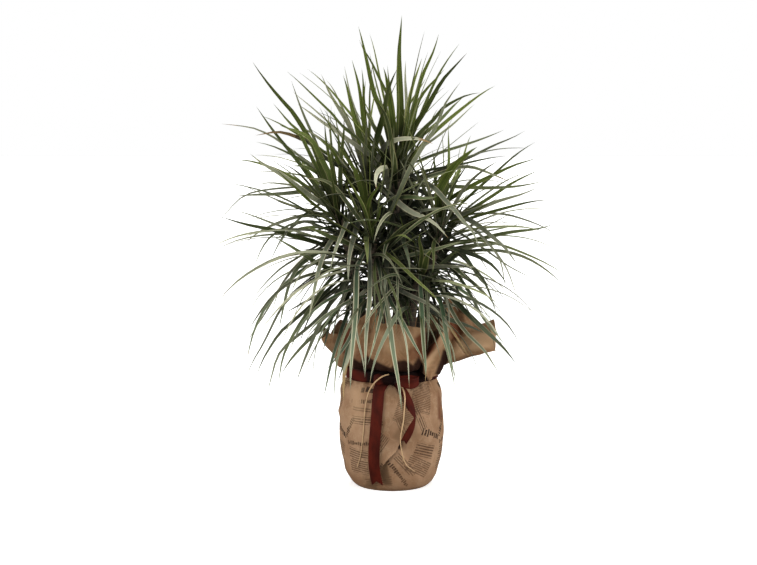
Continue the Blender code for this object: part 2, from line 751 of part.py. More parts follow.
def main():
    """Clears the scene and builds the plant from the pot out."""
    for obj in list(bpy.data.objects):
        bpy.data.objects.remove(obj)
    raffia = finish_material("raffia", (0.55, 0.42, 0.25), 0.7)
    holders = [
        build_pot(finish_material("pot_plastic", (0.06, 0.05, 0.045), 0.5)),
        build_soil(finish_material("potting_soil", (0.06, 0.04, 0.025), 0.95)),
        build_wrap(finish_material("kraft_paper", (0.36, 0.23, 0.13), 0.8)),
        build_ribbon(finish_material("satin_ribbon", (0.10, 0.025, 0.018), 0.35)),
        hanging_strip("raffia_left", RAFFIA_LEFT, RAFFIA_WIDTH, RAFFIA_DEPTH, RAFFIA_LEFT_LIFT, raffia),
        hanging_strip("raffia_right", RAFFIA_RIGHT, RAFFIA_WIDTH, RAFFIA_DEPTH, RAFFIA_LIFT, raffia),
    ]
    build_canes(finish_material("leaf", (0.10, 0.16, 0.07), 0.45), holders)


main()
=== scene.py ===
"""The looks of the potted dracaena in gift wrap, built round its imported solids.

Metres, +Z up, in the solids' own frame: the origin is the middle of the wrap's flat base, -Y faces the
viewer and +X is to the right. Each head's leaves are found again in its solid by the seeded rule that grew
them, and are then made finer. The wrap, its bow and the raffia follow the same outlines as their solids.
"""

import json
import logging
import math
from collections.abc import Callable
from dataclasses import dataclass, replace
from enum import Enum

import bpy
import numpy as np
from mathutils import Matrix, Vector
from mathutils.bvhtree import BVHTree

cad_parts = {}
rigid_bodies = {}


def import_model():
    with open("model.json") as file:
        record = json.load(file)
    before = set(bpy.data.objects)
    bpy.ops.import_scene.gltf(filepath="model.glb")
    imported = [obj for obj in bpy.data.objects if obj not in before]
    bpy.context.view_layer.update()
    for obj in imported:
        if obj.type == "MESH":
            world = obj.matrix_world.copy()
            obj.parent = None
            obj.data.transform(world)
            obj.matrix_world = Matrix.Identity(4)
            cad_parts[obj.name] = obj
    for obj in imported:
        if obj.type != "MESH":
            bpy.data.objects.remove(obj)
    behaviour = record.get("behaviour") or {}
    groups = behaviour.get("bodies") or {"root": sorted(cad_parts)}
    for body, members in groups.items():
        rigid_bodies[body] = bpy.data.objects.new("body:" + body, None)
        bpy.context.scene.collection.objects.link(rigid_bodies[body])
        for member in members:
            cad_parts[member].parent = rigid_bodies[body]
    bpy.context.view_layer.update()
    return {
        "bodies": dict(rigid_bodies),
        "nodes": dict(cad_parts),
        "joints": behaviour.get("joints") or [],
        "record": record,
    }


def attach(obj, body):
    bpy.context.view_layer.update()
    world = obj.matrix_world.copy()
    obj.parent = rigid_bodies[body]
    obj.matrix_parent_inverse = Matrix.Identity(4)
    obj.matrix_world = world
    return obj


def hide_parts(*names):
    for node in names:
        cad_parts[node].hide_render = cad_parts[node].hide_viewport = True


LOG = logging.getLogger("dracaena")
BODY = "root"
TURN = 2 * math.pi

Path = tuple[tuple[float, float], ...]
Path3 = tuple[tuple[float, float, float], ...]


class Around(Enum):
    """Whether a grid's last column joins its first."""

    OPEN = "open"
    CLOSED = "closed"


class Facing(Enum):
    """Which way a grid's faces point: its rows' run crossed with its columns' run, or the other way."""

    ROWS_FIRST = "rows first"
    COLUMNS_FIRST = "columns first"


class Domain(Enum):
    """What an attribute has one value for."""

    POINT = "POINT"
    FACE = "FACE"


def linear(code: str) -> tuple[float, float, float, float]:
    """Turns a six-digit sRGB code into the linear colour that a shader takes.

    Args:
        code: red, green and blue as three pairs of hex digits.

    Returns:
        Red, green, blue and full alpha.
    """
    parts = [int(code[i:i + 2], 16) / 255 for i in (0, 2, 4)]
    red, green, blue = (p / 12.92 if p <= 0.04045 else ((p + 0.055) / 1.055) ** 2.4 for p in parts)
    return red, green, blue, 1.0


# Meshes and curves in numpy

def grid_quads(rows: int, columns: int, around: Around = Around.OPEN,
               facing: Facing = Facing.ROWS_FIRST) -> np.ndarray:
    """Joins a grid of points, numbered row by row, with quads.

    Args:
        rows: how many rows of points there are.
        columns: how many points a row has.
        around: whether the last column joins the first.
        facing: which way the quads point.

    Returns:
        Corner numbers, one row of four for each quad.
    """
    row, column = np.mgrid[0:rows - 1, 0:columns - (around is Around.OPEN)]
    after = (column + 1) % columns
    below, above = row * columns, (row + 1) * columns
    corners = [below + column, above + column, above + after, below + after]
    if facing is Facing.COLUMNS_FIRST:
        corners.reverse()
    return np.stack(corners, axis=-1).reshape(-1, 4)


def fan(centre: int, ring: np.ndarray) -> np.ndarray:
    """Triangles from a centre point to each edge of a closed ring of points, in the ring's order."""
    return np.stack([np.full(len(ring), centre), ring, np.roll(ring, -1)], axis=1)


def tube_faces(rows: int, columns: int) -> list[np.ndarray]:
    """Faces of a closed tube, whose grid of points is followed by the middles of its two end rings."""
    count = rows * columns
    ring = np.arange(columns)
    caps = np.vstack([fan(count, ring)[:, ::-1], fan(count + 1, ring + count - columns)])
    return [grid_quads(rows, columns, Around.CLOSED, Facing.COLUMNS_FIRST), caps]


def wrapped_map(around: np.ndarray, up: np.ndarray, others: int) -> np.ndarray:
    """Maps a tube's quads by their place round it and up it.

    Args:
        around: each column's place, with the first column's again after the last.
        up: each row's place.
        others: how many face corners follow the quads. They are mapped to zero.

    Returns:
        A pair for each face corner.
    """
    flat = crossed(around[None], up[:, None]).reshape(-1, 2)
    quads = grid_quads(len(up), len(around), Around.OPEN, Facing.COLUMNS_FIRST)
    return np.vstack([flat[quads.reshape(-1)], np.zeros((others, 2))])


def crossed(*parts: np.ndarray) -> np.ndarray:
    """Points from their parts, which are spread over one another's rows and columns."""
    return np.stack(np.broadcast_arrays(*parts), axis=-1)


def rounded(radius: np.ndarray, angles: np.ndarray, height: np.ndarray | float) -> np.ndarray:
    """Points at a radius and an angle from the upright axis, and at a height."""
    return crossed(radius * np.cos(angles), radius * np.sin(angles), height)


def spun(points: np.ndarray, turn: np.ndarray | float) -> np.ndarray:
    """Points turned round the upright axis."""
    x, y, z = np.moveaxis(points, -1, 0)
    cosine, sine = np.cos(turn), np.sin(turn)
    return np.stack([x * cosine - y * sine, x * sine + y * cosine, z], axis=-1)


def travelled(points: np.ndarray) -> np.ndarray:
    """How far along a line each of its points lies."""
    return np.concatenate([[0], np.cumsum(np.linalg.norm(np.diff(points, axis=0), axis=1))])


def sampled(places: np.ndarray, known: np.ndarray, values: np.ndarray) -> np.ndarray:
    """Values read between the known places. Each part of a value runs straight from one to the next."""
    return np.stack([np.interp(places, known, part) for part in values.T], axis=-1)


def spline(places: np.ndarray, count: int) -> np.ndarray:
    """Draws a Catmull-Rom curve: each span is a cubic whose end slopes come from its neighbours.

    Args:
        places: the points that the curve goes through, one a row.
        count: how many points to return, evenly spread over the spans.

    Returns:
        Points along the curve, one a row.
    """
    places = np.asarray(places, float)
    padded = np.vstack([2 * places[0] - places[1], places, 2 * places[-1] - places[-2]])
    where = np.linspace(0, len(places) - 1, count)
    span = np.minimum(where.astype(int), len(places) - 2)
    t = (where - span)[:, None]
    a, b, c, d = padded[span], padded[span + 1], padded[span + 2], padded[span + 3]
    curve = 2 * b + (c - a) * t + (2 * a - 5 * b + 4 * c - d) * t ** 2
    return 0.5 * (curve + (3 * b - a - 3 * c + d) * t ** 3)


def unit(vectors: np.ndarray) -> np.ndarray:
    """Vectors scaled to a length of one."""
    return vectors / np.linalg.norm(vectors, axis=-1, keepdims=True)


def smooth_rows(values: np.ndarray, reach: int) -> np.ndarray:
    """Rounds corners along the rows with a moving average that leaves the first and last row in place.

    Args:
        values: an array whose first axis is smoothed.
        reach: how many rows to each side are averaged.

    Returns:
        An array of the same shape.
    """
    before = 2 * values[:1] - values[reach:0:-1]
    after = 2 * values[-1:] - values[-2:-reach - 2:-1]
    padded = np.concatenate([before, values, after])
    weights = np.hanning(2 * reach + 3)[1:-1]
    weights /= weights.sum()
    return sum(w * padded[i:i + len(values)] for i, w in enumerate(weights))


def smooth_step(value: np.ndarray, low: float, high: float) -> np.ndarray:
    """0 below low and 1 above high, with a soft S between: 3t^2 - 2t^3."""
    t = np.clip((value - low) / (high - low), 0, 1)
    return t * t * (3 - 2 * t)


def random_turns(places: np.ndarray, wavelength: float, seed: int, waves: int) -> np.ndarray:
    """How many turns each of several random waves has made at each place.

    Args:
        places: points, along the last axis.
        wavelength: the waves' mean length in metres.
        seed: the draw's seed.
        waves: how many waves there are.

    Returns:
        An array with the waves along its last axis.
    """
    draw = np.random.default_rng(seed)
    directions = unit(draw.normal(size=(waves, places.shape[-1])))
    lengths = wavelength * draw.uniform(0.7, 1.4, waves)
    return places @ (directions / lengths[:, None]).T + draw.uniform(0, 1, waves)


def rolling(places: np.ndarray, wavelength: float, seed: int, waves: int = 14) -> np.ndarray:
    """Soft noise of about -1 to 1: a sum of cosine waves that run in random directions."""
    return np.cos(TURN * random_turns(places, wavelength, seed, waves)).sum(axis=-1) / math.sqrt(waves)


def creased(places: np.ndarray, wavelength: float, seed: int, waves: int = 9) -> np.ndarray:
    """Crumpled noise of about -1 to 1: a sum of triangle waves, so that flat facets meet at sharp folds."""
    turns = random_turns(places, wavelength, seed, waves) % 1
    return (4 * np.abs(turns - 0.5) - 1).sum(axis=-1) / math.sqrt(waves)


def placed(name: str, data: bpy.types.ID) -> bpy.types.Object:
    """A new object in the scene."""
    made = bpy.data.objects.new(name, data)
    bpy.context.scene.collection.objects.link(made)
    return made


def mesh_piece(name: str, points: np.ndarray, faces: list[np.ndarray], material: bpy.types.Material,
               uv: np.ndarray | None = None, values: dict[str, tuple[Domain, np.ndarray]] | None = None,
               sharp: float = 40.0) -> bpy.types.Object:
    """Makes a smooth-shaded mesh object that sits at the origin.

    Args:
        name: the piece's name.
        points: vertices, along the last axis.
        faces: corner numbers, one array for each number of corners.
        material: its finish.
        uv: a pair for each face corner, in the faces' order.
        values: the name of each attribute, with what it has one value for, and its values.
        sharp: the angle in degrees past which an edge shows as sharp.

    Returns:
        The new object, linked to the scene.
    """
    points = points.reshape(-1, 3)
    corners = np.concatenate([part.reshape(-1) for part in faces]).astype(np.int32)
    sizes = np.concatenate([np.full(len(part), part.shape[1]) for part in faces])
    starts = np.concatenate([[0], np.cumsum(sizes)[:-1]]).astype(np.int32)
    mesh = bpy.data.meshes.new(name)
    mesh.vertices.add(len(points))
    mesh.vertices.foreach_set("co", points.astype(np.float32).reshape(-1))
    mesh.loops.add(len(corners))
    mesh.loops.foreach_set("vertex_index", corners)
    mesh.polygons.add(len(sizes))
    mesh.polygons.foreach_set("loop_start", starts)
    mesh.update(calc_edges=True)
    if uv is not None:
        mesh.uv_layers.new(name="sheet").data.foreach_set("uv", uv.astype(np.float32).reshape(-1))
    for label, (domain, numbers) in (values or {}).items():
        attribute = mesh.attributes.new(label, "FLOAT", domain.value)
        attribute.data.foreach_set("value", numbers.astype(np.float32).reshape(-1))
    mesh.shade_smooth()
    mesh.set_sharp_from_angle(angle=math.radians(sharp))
    mesh.materials.append(material)
    return placed(name, mesh)


def thicken(piece: bpy.types.Object, thickness: float, offset: float = -1.0) -> bpy.types.Object:
    """Gives an open sheet its thickness, on its inner side unless offset says otherwise."""
    shell = piece.modifiers.new("thickness", "SOLIDIFY")
    shell.thickness = thickness
    shell.offset = offset
    shell.use_even_offset = False
    return piece


def settle(piece: bpy.types.Object, slot: str, *nodes: str) -> bpy.types.Object:
    """Makes a piece ride with the part and stand for the solids it replaces, which it hides."""
    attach(piece, BODY)
    if nodes:
        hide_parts(*nodes)
    triangles = sum(len(face.vertices) - 2 for face in piece.data.polygons)
    LOG.info("%s: %d triangles before modifiers, replaces %s", piece.name, triangles, nodes or "nothing")
    return piece


def solid_tree(frame: dict, node: str) -> BVHTree:
    """A node's solid as a search tree."""
    mesh = frame["nodes"][node].data
    corners = [tuple(vertex.co) for vertex in mesh.vertices]
    return BVHTree.FromPolygons(corners, [tuple(face.vertices) for face in mesh.polygons])


# Shaders as expressions

def maths(operation: str, own_first: bool = True) -> Callable[..., "Signal"]:
    """A method that adds a Math node.

    Args:
        operation: the node's operation.
        own_first: whether the method's own signal comes before the other number.

    Returns:
        The method.
    """
    def apply(own: "Signal", *others: "Signal | float") -> "Signal":
        """Joins the signal with the others."""
        return own.sheet.math(operation, *((own, *others) if own_first else (*others, own)))

    return apply


class Signal:
    """A number socket that takes part in Python expressions. Each operation adds its Math node."""

    def __init__(self, sheet: "NodeSheet", socket: bpy.types.NodeSocket) -> None:
        """Wraps a socket of the sheet's node tree."""
        self.sheet = sheet
        self.socket = socket

    __add__ = __radd__ = maths("ADD")
    __sub__ = maths("SUBTRACT")
    __rsub__ = maths("SUBTRACT", own_first=False)
    __mul__ = __rmul__ = maths("MULTIPLY")
    __truediv__ = maths("DIVIDE")
    __abs__ = maths("ABSOLUTE")
    fraction = maths("FRACT")
    floor = maths("FLOOR")
    larger = maths("MAXIMUM")

    def rise(self, low: float, high: float) -> "Signal":
        """0 at low and 1 at high, with a soft S between. It falls instead where low is over high."""
        settings = {"interpolation_type": "SMOOTHSTEP"}
        inputs = {"Value": self, "From Min": low, "From Max": high}
        return Signal(self.sheet, self.sheet.node("ShaderNodeMapRange", settings, inputs).outputs["Result"])


Number = Signal | float
Colour = bpy.types.NodeSocket | str
Vector3 = bpy.types.NodeSocket | tuple[Signal | float, Signal | float, Signal | float]


class NodeSheet:
    """One material's node tree."""

    def __init__(self, name: str) -> None:
        """Starts a material with a Principled BSDF."""
        self.material = bpy.data.materials.new(name)
        self.material.use_nodes = True
        self.tree = self.material.node_tree
        self.shader = self.tree.nodes["Principled BSDF"]

    def feed(self, target: bpy.types.NodeSocket, value: object) -> None:
        """Feeds a socket from a signal, a socket, three numbers, a colour's code or a plain value."""
        if isinstance(value, Signal):
            value = value.socket
        if isinstance(value, str):
            value = linear(value)
        if isinstance(value, tuple) and len(value) == 3:
            value = self.node("ShaderNodeCombineXYZ", inputs=dict(enumerate(value))).outputs[0]
        if isinstance(value, bpy.types.NodeSocket):
            self.tree.links.new(value, target)
        else:
            target.default_value = value

    def node(self, kind: str, settings: dict | None = None, inputs: dict | None = None) -> bpy.types.Node:
        """Adds a node.

        Args:
            kind: its Blender type.
            settings: its own properties, set first.
            inputs: values or links for its sockets, by name or number.

        Returns:
            The new node.
        """
        made = self.tree.nodes.new(kind)
        for label, value in (settings or {}).items():
            setattr(made, label, value)
        for label, value in (inputs or {}).items():
            self.feed(made.inputs[label], value)
        return made

    def math(self, operation: str, *values: Number) -> Signal:
        """A Math node's result."""
        made = self.node("ShaderNodeMath", {"operation": operation}, dict(enumerate(values)))
        return Signal(self, made.outputs[0])

    def split(self, vector: bpy.types.NodeSocket) -> tuple[Signal, Signal, Signal]:
        """A vector's three parts."""
        made = self.node("ShaderNodeSeparateXYZ", inputs={0: vector})
        return tuple(Signal(self, made.outputs[i]) for i in range(3))

    def place(self) -> bpy.types.NodeSocket:
        """Object coordinates, in metres."""
        return self.node("ShaderNodeTexCoord").outputs["Object"]

    def sheet_place(self) -> tuple[Signal, Signal]:
        """The piece's own UV map, as two numbers."""
        return self.split(self.node("ShaderNodeUVMap", {"uv_map": "sheet"}).outputs[0])[:2]

    def value(self, name: str) -> Signal:
        """An attribute of the mesh."""
        made = self.node("ShaderNodeAttribute", {"attribute_name": name})
        return Signal(self, made.outputs["Fac"])

    def noise(self, vector: Vector3, scale: float, detail: float = 2.0, roughness: float = 0.5) -> Signal:
        """Soft noise between 0 and 1."""
        inputs = {"Vector": vector, "Scale": scale, "Detail": detail, "Roughness": roughness}
        return Signal(self, self.node("ShaderNodeTexNoise", inputs=inputs).outputs[0])

    def cells(self, vector: bpy.types.NodeSocket, scale: float, feature: str = "F1") -> Signal:
        """Distance to the nearest of scattered points, or to the border between two of them."""
        made = self.node("ShaderNodeTexVoronoi", {"feature": feature}, {"Vector": vector, "Scale": scale})
        return Signal(self, made.outputs["Distance"])

    def mix(self, factor: Number, first: Colour, second: Colour) -> bpy.types.NodeSocket:
        """A colour between two, first where the factor is 0 and second where it is 1."""
        made = self.node("ShaderNodeMix", {"data_type": "RGBA"}, {0: factor, 6: first, 7: second})
        return made.outputs[2]

    def coats(self, colour: Colour, *coats: tuple[Number, Colour]) -> Colour:
        """A colour under coats of others, each laid on by its own factor."""
        for factor, coat in coats:
            colour = self.mix(factor, colour, coat)
        return colour

    def bump(self, height: Signal, distance: float, strength: float = 1.0) -> bpy.types.NodeSocket:
        """A normal from a height between 0 and 1 that stands for distance metres."""
        inputs = {"Height": height, "Distance": distance, "Strength": strength}
        return self.node("ShaderNodeBump", inputs=inputs).outputs[0]

    def finish(self, colour: Colour, roughness: Number, normal: bpy.types.NodeSocket | None = None,
               **fixed: float) -> bpy.types.Material:
        """Feeds the shader.

        Args:
            colour: its base colour.
            roughness: its roughness.
            normal: a normal from a bump, if any.
            fixed: further sockets by name, with _ for a space, each the same all over.

        Returns:
            The material.
        """
        self.feed(self.shader.inputs["Base Color"], colour)
        self.feed(self.shader.inputs["Roughness"], roughness)
        if normal is not None:
            self.feed(self.shader.inputs["Normal"], normal)
        for label, value in fixed.items():
            self.shader.inputs[label.replace("_", " ").title().replace("Ior", "IOR")].default_value = value
        return self.material


# Finishes

@dataclass(frozen=True)
class LeafFinish:
    """Dracaena leaf: green with fine veins, a cream margin, a thin red edge, and a dry tip on old leaves.
    Painted shade darkens it where other leaves hide it from the light, and a painted highlight pales grown
    leaves that lie open to the light.
    """

    young_dark: str = "35441A"
    young_light: str = "7C8A3E"
    old_dark: str = "2D3319"
    old_light: str = "747A56"
    cool_dark: str = "1D3D22"
    cool_light: str = "4A724A"
    young_margin: str = "BAB878"
    old_margin: str = "DAD5B2"
    # pale old leaves; the same colour is also the painted highlight on grown leaves open to the light
    pale: str = "B6B69C"
    edge: str = "7A5640"
    dry: str = "B9986E"
    root: str = "5A5230"
    young_under: str = "4E5B2A"
    old_under: str = "6A7362"
    # the dark that darker leaves lean towards, and the painted shade where other leaves hide a leaf from the
    # light
    shade: str = "0B1006"

    def material(self) -> bpy.types.Material:
        """Builds it. The sheet map runs from -1 to 1 across a leaf and from 0 to 1 along it."""
        s = NodeSheet("leaf")
        across, along = s.sheet_place()
        names = ("age", "tint", "dryness", "under", "margin", "pale", "cool", "open")
        age, tint, dryness, under, margin_width, paleness, cool, lit = (s.value(name) for name in names)
        seed = tint * 37.0
        out = abs(across)
        grown = age.rise(0.12, 0.7)
        vein = s.noise((across * 8.0, along * 1.8, seed), 1.0, 4.0, 0.65)
        drift = s.noise((across * 0.6, along * 5.0, seed + 9.0), 1.0)
        cloud = s.noise((seed, along * 0.9, 0.0), 1.0).rise(0.25, 0.8)
        stripe = s.noise((across * 9.0, along * 0.5, seed + 3.0), 1.0).rise(0.60, 0.70)
        veined = vein.rise(0.28, 0.75)
        warm_green = s.mix(veined, self.old_dark, self.old_light)
        old_green = s.mix(cool, warm_green, s.mix(veined, self.cool_dark, self.cool_light))
        margin_colour = s.mix(grown, self.young_margin, self.old_margin)
        margin = (out - (1.0 - margin_width * (0.85 + 0.6 * (drift - 0.5)))).rise(-0.05, 0.07)
        dry = (along - (1.0 - dryness * (0.55 + 0.6 * (drift - 0.5) + 0.2 * out))).rise(0.0, 0.05)
        gloom = (1.0 - tint).rise(0.25, 1.0) * (0.35 + 0.45 * cloud)
        colour = s.coats(
            s.mix(grown, s.mix(veined, self.young_dark, self.young_light), old_green),
            (under * 0.6, s.mix(grown, self.young_under, self.old_under)),
            (paleness, self.pale),
            (margin * (0.60 + 0.32 * grown), margin_colour),
            (stripe * 0.4 * margin_width, margin_colour),
            (out.rise(0.90, 0.99) * 0.55, self.edge),
            ((0.10 - along).rise(0.0, 0.09) * 0.6, self.root),
            # painted highlight: grown leaves open to the light are paled
            (lit.rise(0.55, 1.0) * grown * 0.19, self.pale),
            (dry, s.mix(vein.rise(0.3, 0.7), self.dry, self.root)),
            (gloom * (1.0 - paleness), self.shade),
            # painted shade: leaves that others hide from the light are darkened
            ((1.0 - lit) * 0.94, self.shade),
        )
        roughness = 0.40 + 0.16 * vein + 0.25 * dry + 0.10 * under
        return s.finish(colour, roughness, s.bump(vein, 0.0004, 0.6), specular_ior_level=0.14)


@dataclass(frozen=True)
class BarkFinish:
    """Cane bark: grey-brown, with paler rings where leaves have dropped."""

    dark: str = "1E1710"
    light: str = "4C3F2E"
    ring: str = "665640"

    def material(self) -> bpy.types.Material:
        """Builds it. The sheet map is in metres round and up the cane."""
        s = NodeSheet("cane_bark")
        around, up = s.sheet_place()
        grain = s.noise((around * 300.0, up * 60.0, 0.0), 1.0, 5.0, 0.65)
        sway = s.noise((around * 40.0, up * 30.0, 4.0), 1.0)
        ring = (abs(((up + sway * 0.004) / 0.008).fraction() - 0.5)).rise(0.38, 0.5)
        colour = s.mix(grain.rise(0.25, 0.75), self.dark, self.light)
        colour = s.mix(ring * 0.6, colour, self.ring)
        normal = s.bump(grain * 0.6 + ring * 0.4, 0.0006)
        return s.finish(colour, 0.75 + 0.15 * grain, normal)


@dataclass(frozen=True)
class SoilFinish:
    """Potting soil: dark damp bark and peat, mottled from crumb to crumb."""

    dark: str = "1E150E"
    light: str = "4E3A28"

    def material(self) -> bpy.types.Material:
        """Builds it on object coordinates."""
        s = NodeSheet("potting_soil")
        place = s.place()
        crumb = s.cells(place, 300.0)
        patch = s.noise(place, 60.0, 5.0, 0.7)
        colour = s.mix(patch.rise(0.3, 0.7), self.dark, self.light)
        normal = s.bump(1.0 - crumb, 0.0015)
        return s.finish(colour, 0.85 + 0.1 * patch, normal)


@dataclass(frozen=True)
class ChipFinish:
    """Bits in the soil: bark chips, and a few white grains of perlite. One attribute says which."""

    bark_dark: str = "2B1D12"
    bark_light: str = "6B4A30"
    perlite: str = "D8D4C8"

    def material(self) -> bpy.types.Material:
        """Builds it on object coordinates and the grain attribute."""
        s = NodeSheet("soil_bits")
        grain = s.noise(s.place(), 500.0, 4.0, 0.6)
        colour = s.mix(grain.rise(0.3, 0.7), self.bark_dark, self.bark_light)
        colour = s.mix(s.value("perlite"), colour, self.perlite)
        return s.finish(colour, 0.85, s.bump(grain, 0.0005))


@dataclass(frozen=True)
class PotFinish:
    """Nursery pot: thin dark brown plastic, satin, with faint scuffs."""

    plain: str = "3A332E"
    scuffed: str = "5A524A"

    def material(self) -> bpy.types.Material:
        """Builds it on object coordinates."""
        s = NodeSheet("pot_plastic")
        place = s.place()
        scuff = s.noise(place, 90.0, 6.0, 0.7).rise(0.55, 0.75)
        grain = s.noise(place, 900.0, 2.0)
        colour = s.mix(scuff * 0.5, self.plain, self.scuffed)
        return s.finish(colour, 0.42 + 0.2 * scuff, s.bump(grain, 0.0002, 0.4))


class Marks(Enum):
    """What a block of print is made of. None of it stands for a letter."""

    DASHES = "rows of fine dashes"
    BARS = "one row of bold upright bars of uneven height"


@dataclass(frozen=True)
class PrintBlock:
    """A block of generic marks on the wrap.

    centre is (sideways from the front's middle, up from the bag's foot) and size is (along, across) the
    block, in metres on the paper. turn is in degrees, pitch is from row to row, and step is a mark's mean
    length.
    """

    marks: Marks
    centre: tuple[float, float]
    size: tuple[float, float]
    turn: float
    pitch: float
    step: float
    ink: float


@dataclass(frozen=True)
class KraftFinish:
    """Kraft wrapping paper with an allover print of generic bars and dashes that repeats round the sheet.
    Over it lie patches of painted shade, shadow and light, and painted shade towards the bag's foot.
    """

    dark: str = "86654A"
    # paper fibre flecks, and the painted shade towards the bag's foot
    light: str = "A58568"
    shade: str = "7A5638"
    rub: str = "C2A683"
    # painted shade in the paper's folds and valleys, and on its inner face where it lies in shadow
    fold: str = "5C2E1A"
    # painted shadow in the pockets under the flap and the paper's edges, and where leaves shade the bag
    damp: str = "5F4832"
    collar: str = "8C6840"
    # painted shadow, near black: under the collar's overhang, in the V between its flaps and in deep pockets
    recess: str = "220C06"
    # painted light on the faces that catch it
    lit: str = "D2AE86"
    ink_colour: str = "2E2019"
    girth: float = TURN * 0.0945
    repeats: int = 3
    repeat_up: float = 0.200
    foot: float = 0.067
    bare_above: tuple[float, float] = (0.300, 0.325)
    blocks: tuple[PrintBlock, ...] = (
        PrintBlock(Marks.BARS, (-0.038, 0.183), (0.062, 0.017), 0, 0.017, 0.0098, 0.95),
        PrintBlock(Marks.BARS, (-0.045, 0.1625), (0.084, 0.0110), 4, 0.0110, 0.0046, 0.90),
        PrintBlock(Marks.DASHES, (-0.060, 0.147), (0.040, 0.008), 0, 0.0040, 0.0110, 0.60),
        PrintBlock(Marks.DASHES, (-0.052, 0.128), (0.056, 0.014), 2, 0.0046, 0.0160, 0.75),
        PrintBlock(Marks.DASHES, (-0.002, 0.141), (0.034, 0.012), 8, 0.0048, 0.0130, 0.65),
        PrintBlock(Marks.DASHES, (-0.002, 0.108), (0.046, 0.040), 56, 0.0034, 0.0070, 0.72),
        PrintBlock(Marks.BARS, (-0.088, 0.112), (0.040, 0.013), 58, 0.013, 0.0044, 0.95),
        PrintBlock(Marks.BARS, (-0.066, 0.0865), (0.060, 0.0095), 5, 0.0095, 0.0042, 0.85),
        PrintBlock(Marks.DASHES, (-0.070, 0.052), (0.046, 0.048), -4, 0.0043, 0.0150, 0.72),
        PrintBlock(Marks.DASHES, (-0.034, 0.060), (0.016, 0.044), 8, 0.0040, 0.0080, 0.60),
        PrintBlock(Marks.DASHES, (0.060, 0.170), (0.044, 0.058), -18, 0.0030, 0.0060, 0.72),
        PrintBlock(Marks.DASHES, (0.050, 0.133), (0.044, 0.013), -68, 0.0042, 0.0130, 0.72),
        PrintBlock(Marks.BARS, (0.076, 0.103), (0.048, 0.0160), -18, 0.0160, 0.0064, 1.0),
        PrintBlock(Marks.DASHES, (0.064, 0.073), (0.046, 0.024), -16, 0.0048, 0.0150, 0.75),
        PrintBlock(Marks.DASHES, (0.054, 0.044), (0.056, 0.030), -24, 0.0038, 0.0100, 0.66),
        PrintBlock(Marks.BARS, (0.012, 0.033), (0.070, 0.012), -50, 0.012, 0.0048, 0.95),
        PrintBlock(Marks.DASHES, (0.026, 0.048), (0.056, 0.014), -46, 0.0040, 0.0110, 0.62),
        PrintBlock(Marks.DASHES, (-0.030, 0.016), (0.060, 0.018), 10, 0.0044, 0.0110, 0.60),
    )

    def chance(self, s: NodeSheet, *numbers: Number) -> Signal:
        """A number between 0 and 1 that is settled by up to three whole numbers."""
        made = s.node("ShaderNodeTexWhiteNoise", {"noise_dimensions": "3D"}, {"Vector": numbers})
        return Signal(s, made.outputs["Value"])

    def marks(self, s: NodeSheet, block: PrintBlock, number: int, across: Signal, up: Signal) -> Signal:
        """How much ink one block lays at a place.

        Rows are cut into cells. Each has its own chance of ink, and in a row of bars its own height too.
        """
        cosine, sine = math.cos(math.radians(block.turn)), math.sin(math.radians(block.turn))
        right, above = across - block.centre[0], up - block.centre[1]
        reading = right * cosine + above * sine
        height = above * cosine - right * sine
        inside = (abs(reading) / (block.size[0] / 2)).rise(1.0, 0.97)
        inside = inside * (abs(height) / (block.size[1] / 2)).rise(1.0, 0.97)
        row = height / block.pitch + 0.5 * (block.marks is Marks.BARS)
        cell = reading / block.step
        level = row.fraction()
        if block.marks is Marks.BARS:
            word = self.chance(s, (cell / 4.3).floor(), number, 1.0).rise(0.05, 0.09)
            low = 0.06 + 0.22 * self.chance(s, cell.floor(), number, 2.0)
            high = 0.94 - 0.34 * self.chance(s, cell.floor(), number, 3.0)
            thick = 0.26 + 0.20 * self.chance(s, cell.floor(), number, 4.0)
            upright = (thick - abs(cell.fraction() - 0.5)).rise(-0.05, 0.05)
            length = (level - low).rise(-0.03, 0.03) * (high - level).rise(-0.03, 0.03)
            return inside * word * upright * length * block.ink
        wide = s.noise((cell, row.floor() * 7.3, number * 3.1), 1.0, 2.0).rise(0.34, 0.42)
        line = abs(level - 0.5).rise(0.34, 0.20)
        return inside * wide * line * block.ink

    def inked(self, s: NodeSheet, along: Signal, up: Signal) -> Signal:
        """How much ink there is at a place on the sheet: the most that any block lays there."""
        width = self.girth / self.repeats
        across = ((along / width + 0.5).fraction() - 0.5) * width
        rise = ((up - self.foot) / self.repeat_up).fraction() * self.repeat_up
        total = None
        for number, block in enumerate(self.blocks):
            laid = self.marks(s, block, number, across, rise)
            total = laid if total is None else total.larger(laid)
        return total

